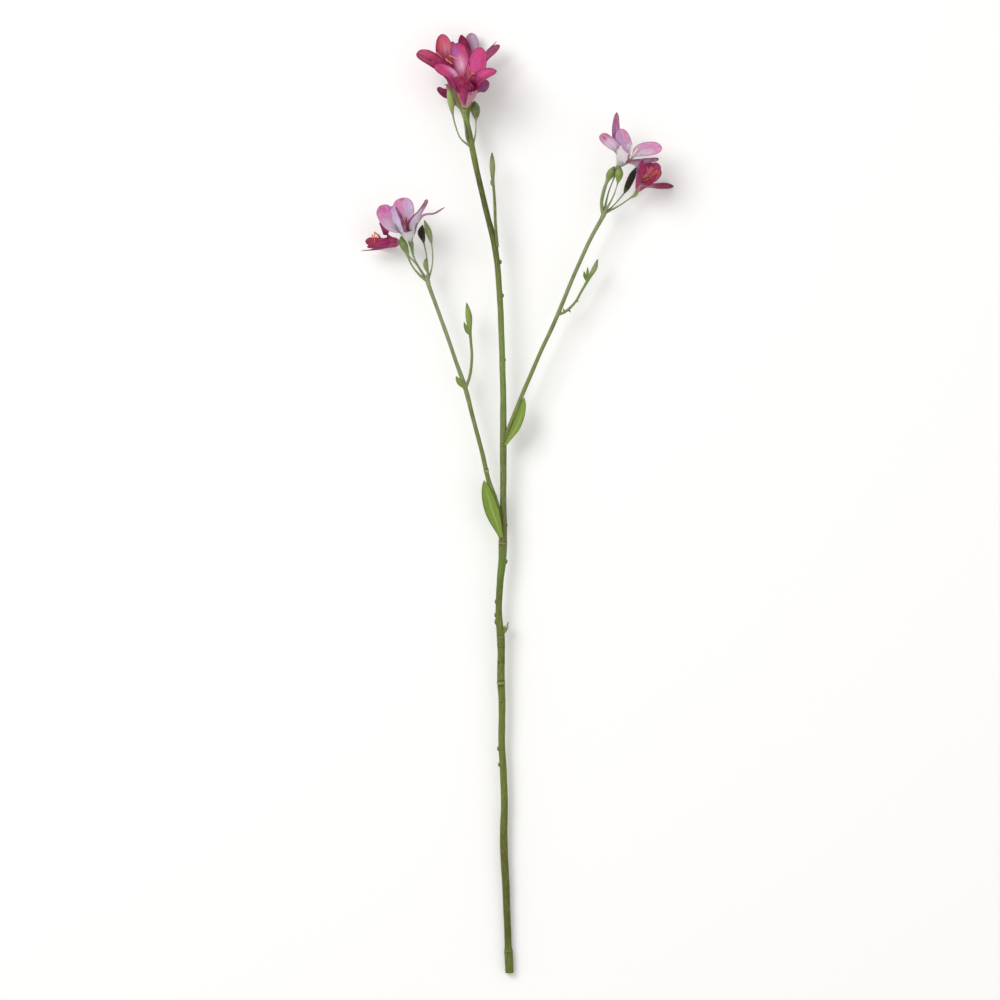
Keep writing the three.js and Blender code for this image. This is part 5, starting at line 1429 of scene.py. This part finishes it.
# A head's collar covers the joint with its stem, and each of its stalks runs to the bloom named after it
heads = {
    "top_head": {
        "collar": [
            (-35.2, 280.6, 23.7, 2.2), (-35.6, 282.2, 23.8, 2.42), (-36, 285, 24, 2.35),
            (-36.4, 289, 24.8, 1.9), (-36.7, 292, 25.4, 1.5),
        ],
        # stalkFoot is much darker than stalkTop: painted shade low on the stalks, under the blooms
        "green": "#6C7440", "stalkFoot": "#5C6434", "stalkTop": "#84964E",
        "stalks": [
            ([(-36, 284.6, 24.2, 1.8), (-36.7, 292.1, 25.4, 1.65), (-39.6, 304, 27.4, 1.6)], "top_front"),
            ([(-36.4, 284.3, 23.4, 1.5), (-39.7, 294.9, 19.6, 1.2), (-42.2, 308.8, 15.4, 1.2)], "top_left"),
            ([(-36, 284.3, 23, 1.5), (-37.6, 294.9, 19.6, 1.2), (-39.2, 307.9, 17, 1.3)], "top_back"),
            (
                [(-36.6, 284.3, 22.8, 1.4), (-39.8, 295.1, 16.6, 1.1), (-42.1, 307.4, 12.6, 1.1)],
                "top_small",
            ),
        ],
        "budGreens": ("#98A85C", "#84964C", "#68704A"),
        "buds": [
            [
                (-36.8, 284.2, 24, 1.2), (-45, 290.9, 27, 0.62), (-49.5, 302.1, 31, 0.62),
                (-51.1, 309.2, 32.4, 0.8), (-52, 313.8, 33, 1.8), (-52.6, 319, 33.6, 2.8),
                (-53.6, 326, 34, 2.5), (-54.9, 332.2, 34, 0.5),
            ],
            [
                (-36.4, 284.5, 24, 1.2), (-40.3, 290.6, 25, 0.62), (-41.5, 300.9, 26, 0.62),
                (-43.1, 311.2, 26.6, 1.2), (-46.3, 319.9, 27.4, 2.3), (-49.2, 327.4, 30.4, 1.7),
                (-51, 332.2, 33.6, 0.5),
            ],
            [
                (-35.6, 284.4, 23.8, 1.2), (-33.1, 295.3, 25, 0.62), (-32.8, 304.9, 25.4, 0.7),
                (-32.9, 309.7, 25.4, 2.8), (-33.4, 314.1, 25.4, 3.9), (-33.9, 318.1, 25.4, 2.8),
                (-34.4, 320.9, 25.4, 0.6),
            ],
        ],
    },
    "left_head": {
        "collar": [
            (-70, 172.4, 21.8, 1.5), (-70.6, 174, 21.9, 1.74), (-71.3, 177, 22, 2),
            (-71.9, 179.6, 22.2, 1.8), (-72.2, 181.2, 22.4, 1.3),
        ],
        "green": "#88916A", "stalkFoot": "#7C875A", "stalkTop": "#86985A",
        "stalks": [
            ([(-71.6, 177.3, 22, 1.3), (-78.3, 188.5, 22.2, 0.7), (-82.5, 196.5, 22, 0.7)], "left_pale"),
            (
                [(-71.8, 177.3, 21.6, 1.2), (-80.7, 191, 20.2, 0.62), (-87.9, 199.5, 19.2, 0.62)],
                "left_magenta",
            ),
        ],
        "budGreens": ("#74874A", "#84935A", "#8C9A62", "#7C8C50"),
        "buds": [
            [
                (-71.9, 177.3, 22.2, 1.3), (-77.8, 182, 24, 1), (-83.4, 188.8, 25.6, 0.7),
                (-86.9, 196.3, 26.4, 1), (-88.1, 200.3, 26.6, 1.9), (-90.4, 205.6, 26.4, 3.3),
                (-92, 210, 26, 2.3), (-92.4, 212.8, 26, 0.6),
            ],
            [
                (-71.6, 177.3, 21.8, 1.2), (-71.3, 189.4, 20.4, 0.55), (-72.3, 197.4, 19.4, 0.55),
                (-74.4, 207.8, 18.4, 0.62),
            ],
            [
                (-71.3, 177.3, 22.2, 1.2), (-68.1, 187.7, 23, 0.55), (-67.3, 197.2, 24, 0.55),
                (-68.2, 206.7, 24.8, 0.62), (-68.9, 210.3, 25, 1.6), (-70.8, 216.8, 25, 2.6),
                (-72.8, 222.4, 25, 1.5), (-73.9, 225.4, 25, 0.4),
            ],
            [
                (-71.6, 177.3, 22.6, 1.2), (-71.2, 183.6, 24.4, 1), (-72.7, 188.7, 25.2, 2),
                (-73.1, 191.9, 25.4, 1.8), (-72.9, 195.1, 25.6, 0.5),
            ],
        ],
    },
    "right_head": {
        "collar": [
            (66.8, 225.4, 21.9, 1.5), (67.5, 227, 21.9, 1.74), (68.8, 229.6, 22, 2), (70, 232.2, 22.2, 1.8),
            (70.8, 233.6, 22.3, 1.3),
        ],
        "green": "#848D62", "stalkFoot": "#76825A", "stalkTop": "#86985A",
        "stalks": [
            ([(69, 230.4, 21.8, 1.3), (73.2, 248.5, 21, 0.62), (77.3, 259.3, 21, 0.62)], "right_pale"),
            (
                [(69.5, 231.2, 21.8, 1.2), (82, 237.8, 20.6, 0.62), (90.3, 243.6, 19.4, 0.7)],
                "right_magenta",
            ),
        ],
        "budGreens": ("#808E4C", "#86984A", "#84935A"),
        "buds": [
            [
                (68.7, 229.9, 22, 1.6), (67.5, 239.6, 23, 1.4), (69.4, 249.6, 24.2, 1.5),
                (72, 257, 25, 1.5), (73.9, 261.5, 25.6, 3.1), (75.8, 265.1, 26, 2.8),
                (77.6, 268.4, 26.2, 0.6),
            ],
            [
                (69.3, 231, 22.2, 1.2), (76.9, 245, 26, 0.62), (80.2, 254.9, 28.4, 0.7),
                (80.9, 258.6, 29, 2.4), (81.4, 262.8, 29.8, 3.3), (81.6, 266.3, 30.6, 2),
                (81.7, 268.2, 31, 0.6),
            ],
            [(69.5, 231.2, 21.6, 1.2), (76.7, 237.3, 20, 0.55), (85.4, 247.4, 17, 0.62)],
        ],
    },
}
darkBuds = {
    "left_dark_bud": [
        (-74.5, 208.2, 18.4, 0.9), (-75.3, 211.5, 17.8, 2), (-76.6, 216.1, 17.2, 3.1),
        (-76.1, 219.4, 17, 2.2), (-75.4, 222.3, 17, 0.4),
    ],
    "right_dark_bud": [
        (85.8, 247.9, 16.9, 0.8), (87.5, 251.5, 16.2, 2.1), (89.9, 256.8, 15.2, 2.8),
        (92.7, 262.9, 14, 2.7), (95.6, 268.7, 13, 0.5),
    ],
}


def head(user):
    # The collar, a stalk to each bloom with a receptacle under it, and the buds on stalks of their own
    collarDye = alongDye(user["green"], user["green"])
    parts = [limb(user["collar"], "collar", stemRelief(*ribbing["collar"]), collarDye)]
    for points, bloomName in user["stalks"]:
        foot, ahead = axesOf(blooms[bloomName])[:2]
        size = blooms[bloomName]["size"]
        under = [(*(foot - ahead * below * size), radius * size) for below, radius in receptacle]
        stalkDye = alongDye(user["stalkFoot"], user["stalkTop"])
        parts.append(limb([*points, *under], "stalk", budRelief(sepalGroove["stalk"]), stalkDye))
    for points, green in zip(user["buds"], user["budGreens"]):
        budDye = fatterDye(budDyes["stalk"], green, budDyes["tip"])
        parts.append(limb(points, "bud", budRelief(sepalGroove["bud"]), budDye))
    return joined(parts)


for name, user in heads.items():
    makePiece(name + "_stalks_and_buds", head(user), finish["budSkin"], name)
for name, points in darkBuds.items():
    skin = limb(points, "darkBud", budRelief(sepalGroove["darkBud"]), fatterDye(*darkBudDyes))
    makePiece(name + "_skin", skin, finish["blackishBudSkin"], name)
print("heads made,", len(heads))


# Floor, light and camera

studio = {
    "floorColour": "#FBFAF8", "floorRoughness": 0.9,
    "floorSize": 6.0,  # metres, as all places and sizes here
    "worldStrength": 0.66,
    "keyPlace": (-1.7, 1.4, 2.5), "keySize": 1.8, "keyPower": 58.0,
    "fillPlace": (1.2, -0.4, 1.4), "fillSize": 1.6, "fillPower": 3.0,
}


def paleFloor():
    # Matt white-painted board, rolled: an even pale surface with no gloss
    material, tree = startMaterial("mattPaintedBoard")
    settings = {"Base Color": socketColour(studio["floorColour"]), "Roughness": studio["floorRoughness"]}
    shader = addNode(tree, "BsdfPrincipled", settings)
    addNode(tree, "OutputMaterial", None, {"Surface": shader.outputs[0]})
    half = studio["floorSize"] / 2
    corners = [(-half, -half, 0), (half, -half, 0), (half, half, 0), (-half, half, 0)]
    mesh = bpy.data.meshes.new("floor")
    mesh.from_pydata(corners, [], [(0, 1, 2, 3)])
    mesh.materials.append(material)
    floor = bpy.data.objects.new("floor", mesh)
    bpy.context.scene.collection.objects.link(floor)


def softLight(name, place, size, power):
    # A square soft box that looks at the middle of the spray
    lamp = bpy.data.lights.new(name, "AREA")
    lamp.size = size
    lamp.energy = power
    light = bpy.data.objects.new(name, lamp)
    light.location = place
    aimX, aimY, aimZ = (-value for value in place)
    tilt = math.atan2(math.hypot(aimX, aimY), -aimZ)
    light.rotation_euler = (tilt, 0, math.atan2(aimY, aimX) - math.pi / 2)
    bpy.context.scene.collection.objects.link(light)


paleFloor()
softLight("keySoftBox", studio["keyPlace"], studio["keySize"], studio["keyPower"])
softLight("fillSoftBox", studio["fillPlace"], studio["fillSize"], studio["fillPower"])
world = bpy.data.worlds.new("whiteRoom")
bpy.context.scene.world = world
world.use_nodes = True
sky = world.node_tree.nodes["Background"].inputs
sky["Color"].default_value = (1, 1, 1, 1)
sky["Strength"].default_value = studio["worldStrength"]
bpy.context.scene.view_settings.view_transform = "Standard"

camera = {
    "lens": 200.0, "sensorWidth": 36.0,  # millimetres
    "middle": (-0.0136, 0.0024),  # what the picture's middle looks at
    "height": 4.4594,  # 4.444 m above 15 mm, about the stem's mid height, so that a pixel is 0.8 mm there
    "farthest": 50.0,
}
lens = bpy.data.cameras.new("camera")
lens.lens = camera["lens"]
lens.sensor_width = camera["sensorWidth"]
lens.clip_end = camera["farthest"]
eye = bpy.data.objects.new("camera", lens)
eye.location = (*camera["middle"], camera["height"])
bpy.context.scene.collection.objects.link(eye)
bpy.context.scene.camera = eye
print("floor, light and camera set")
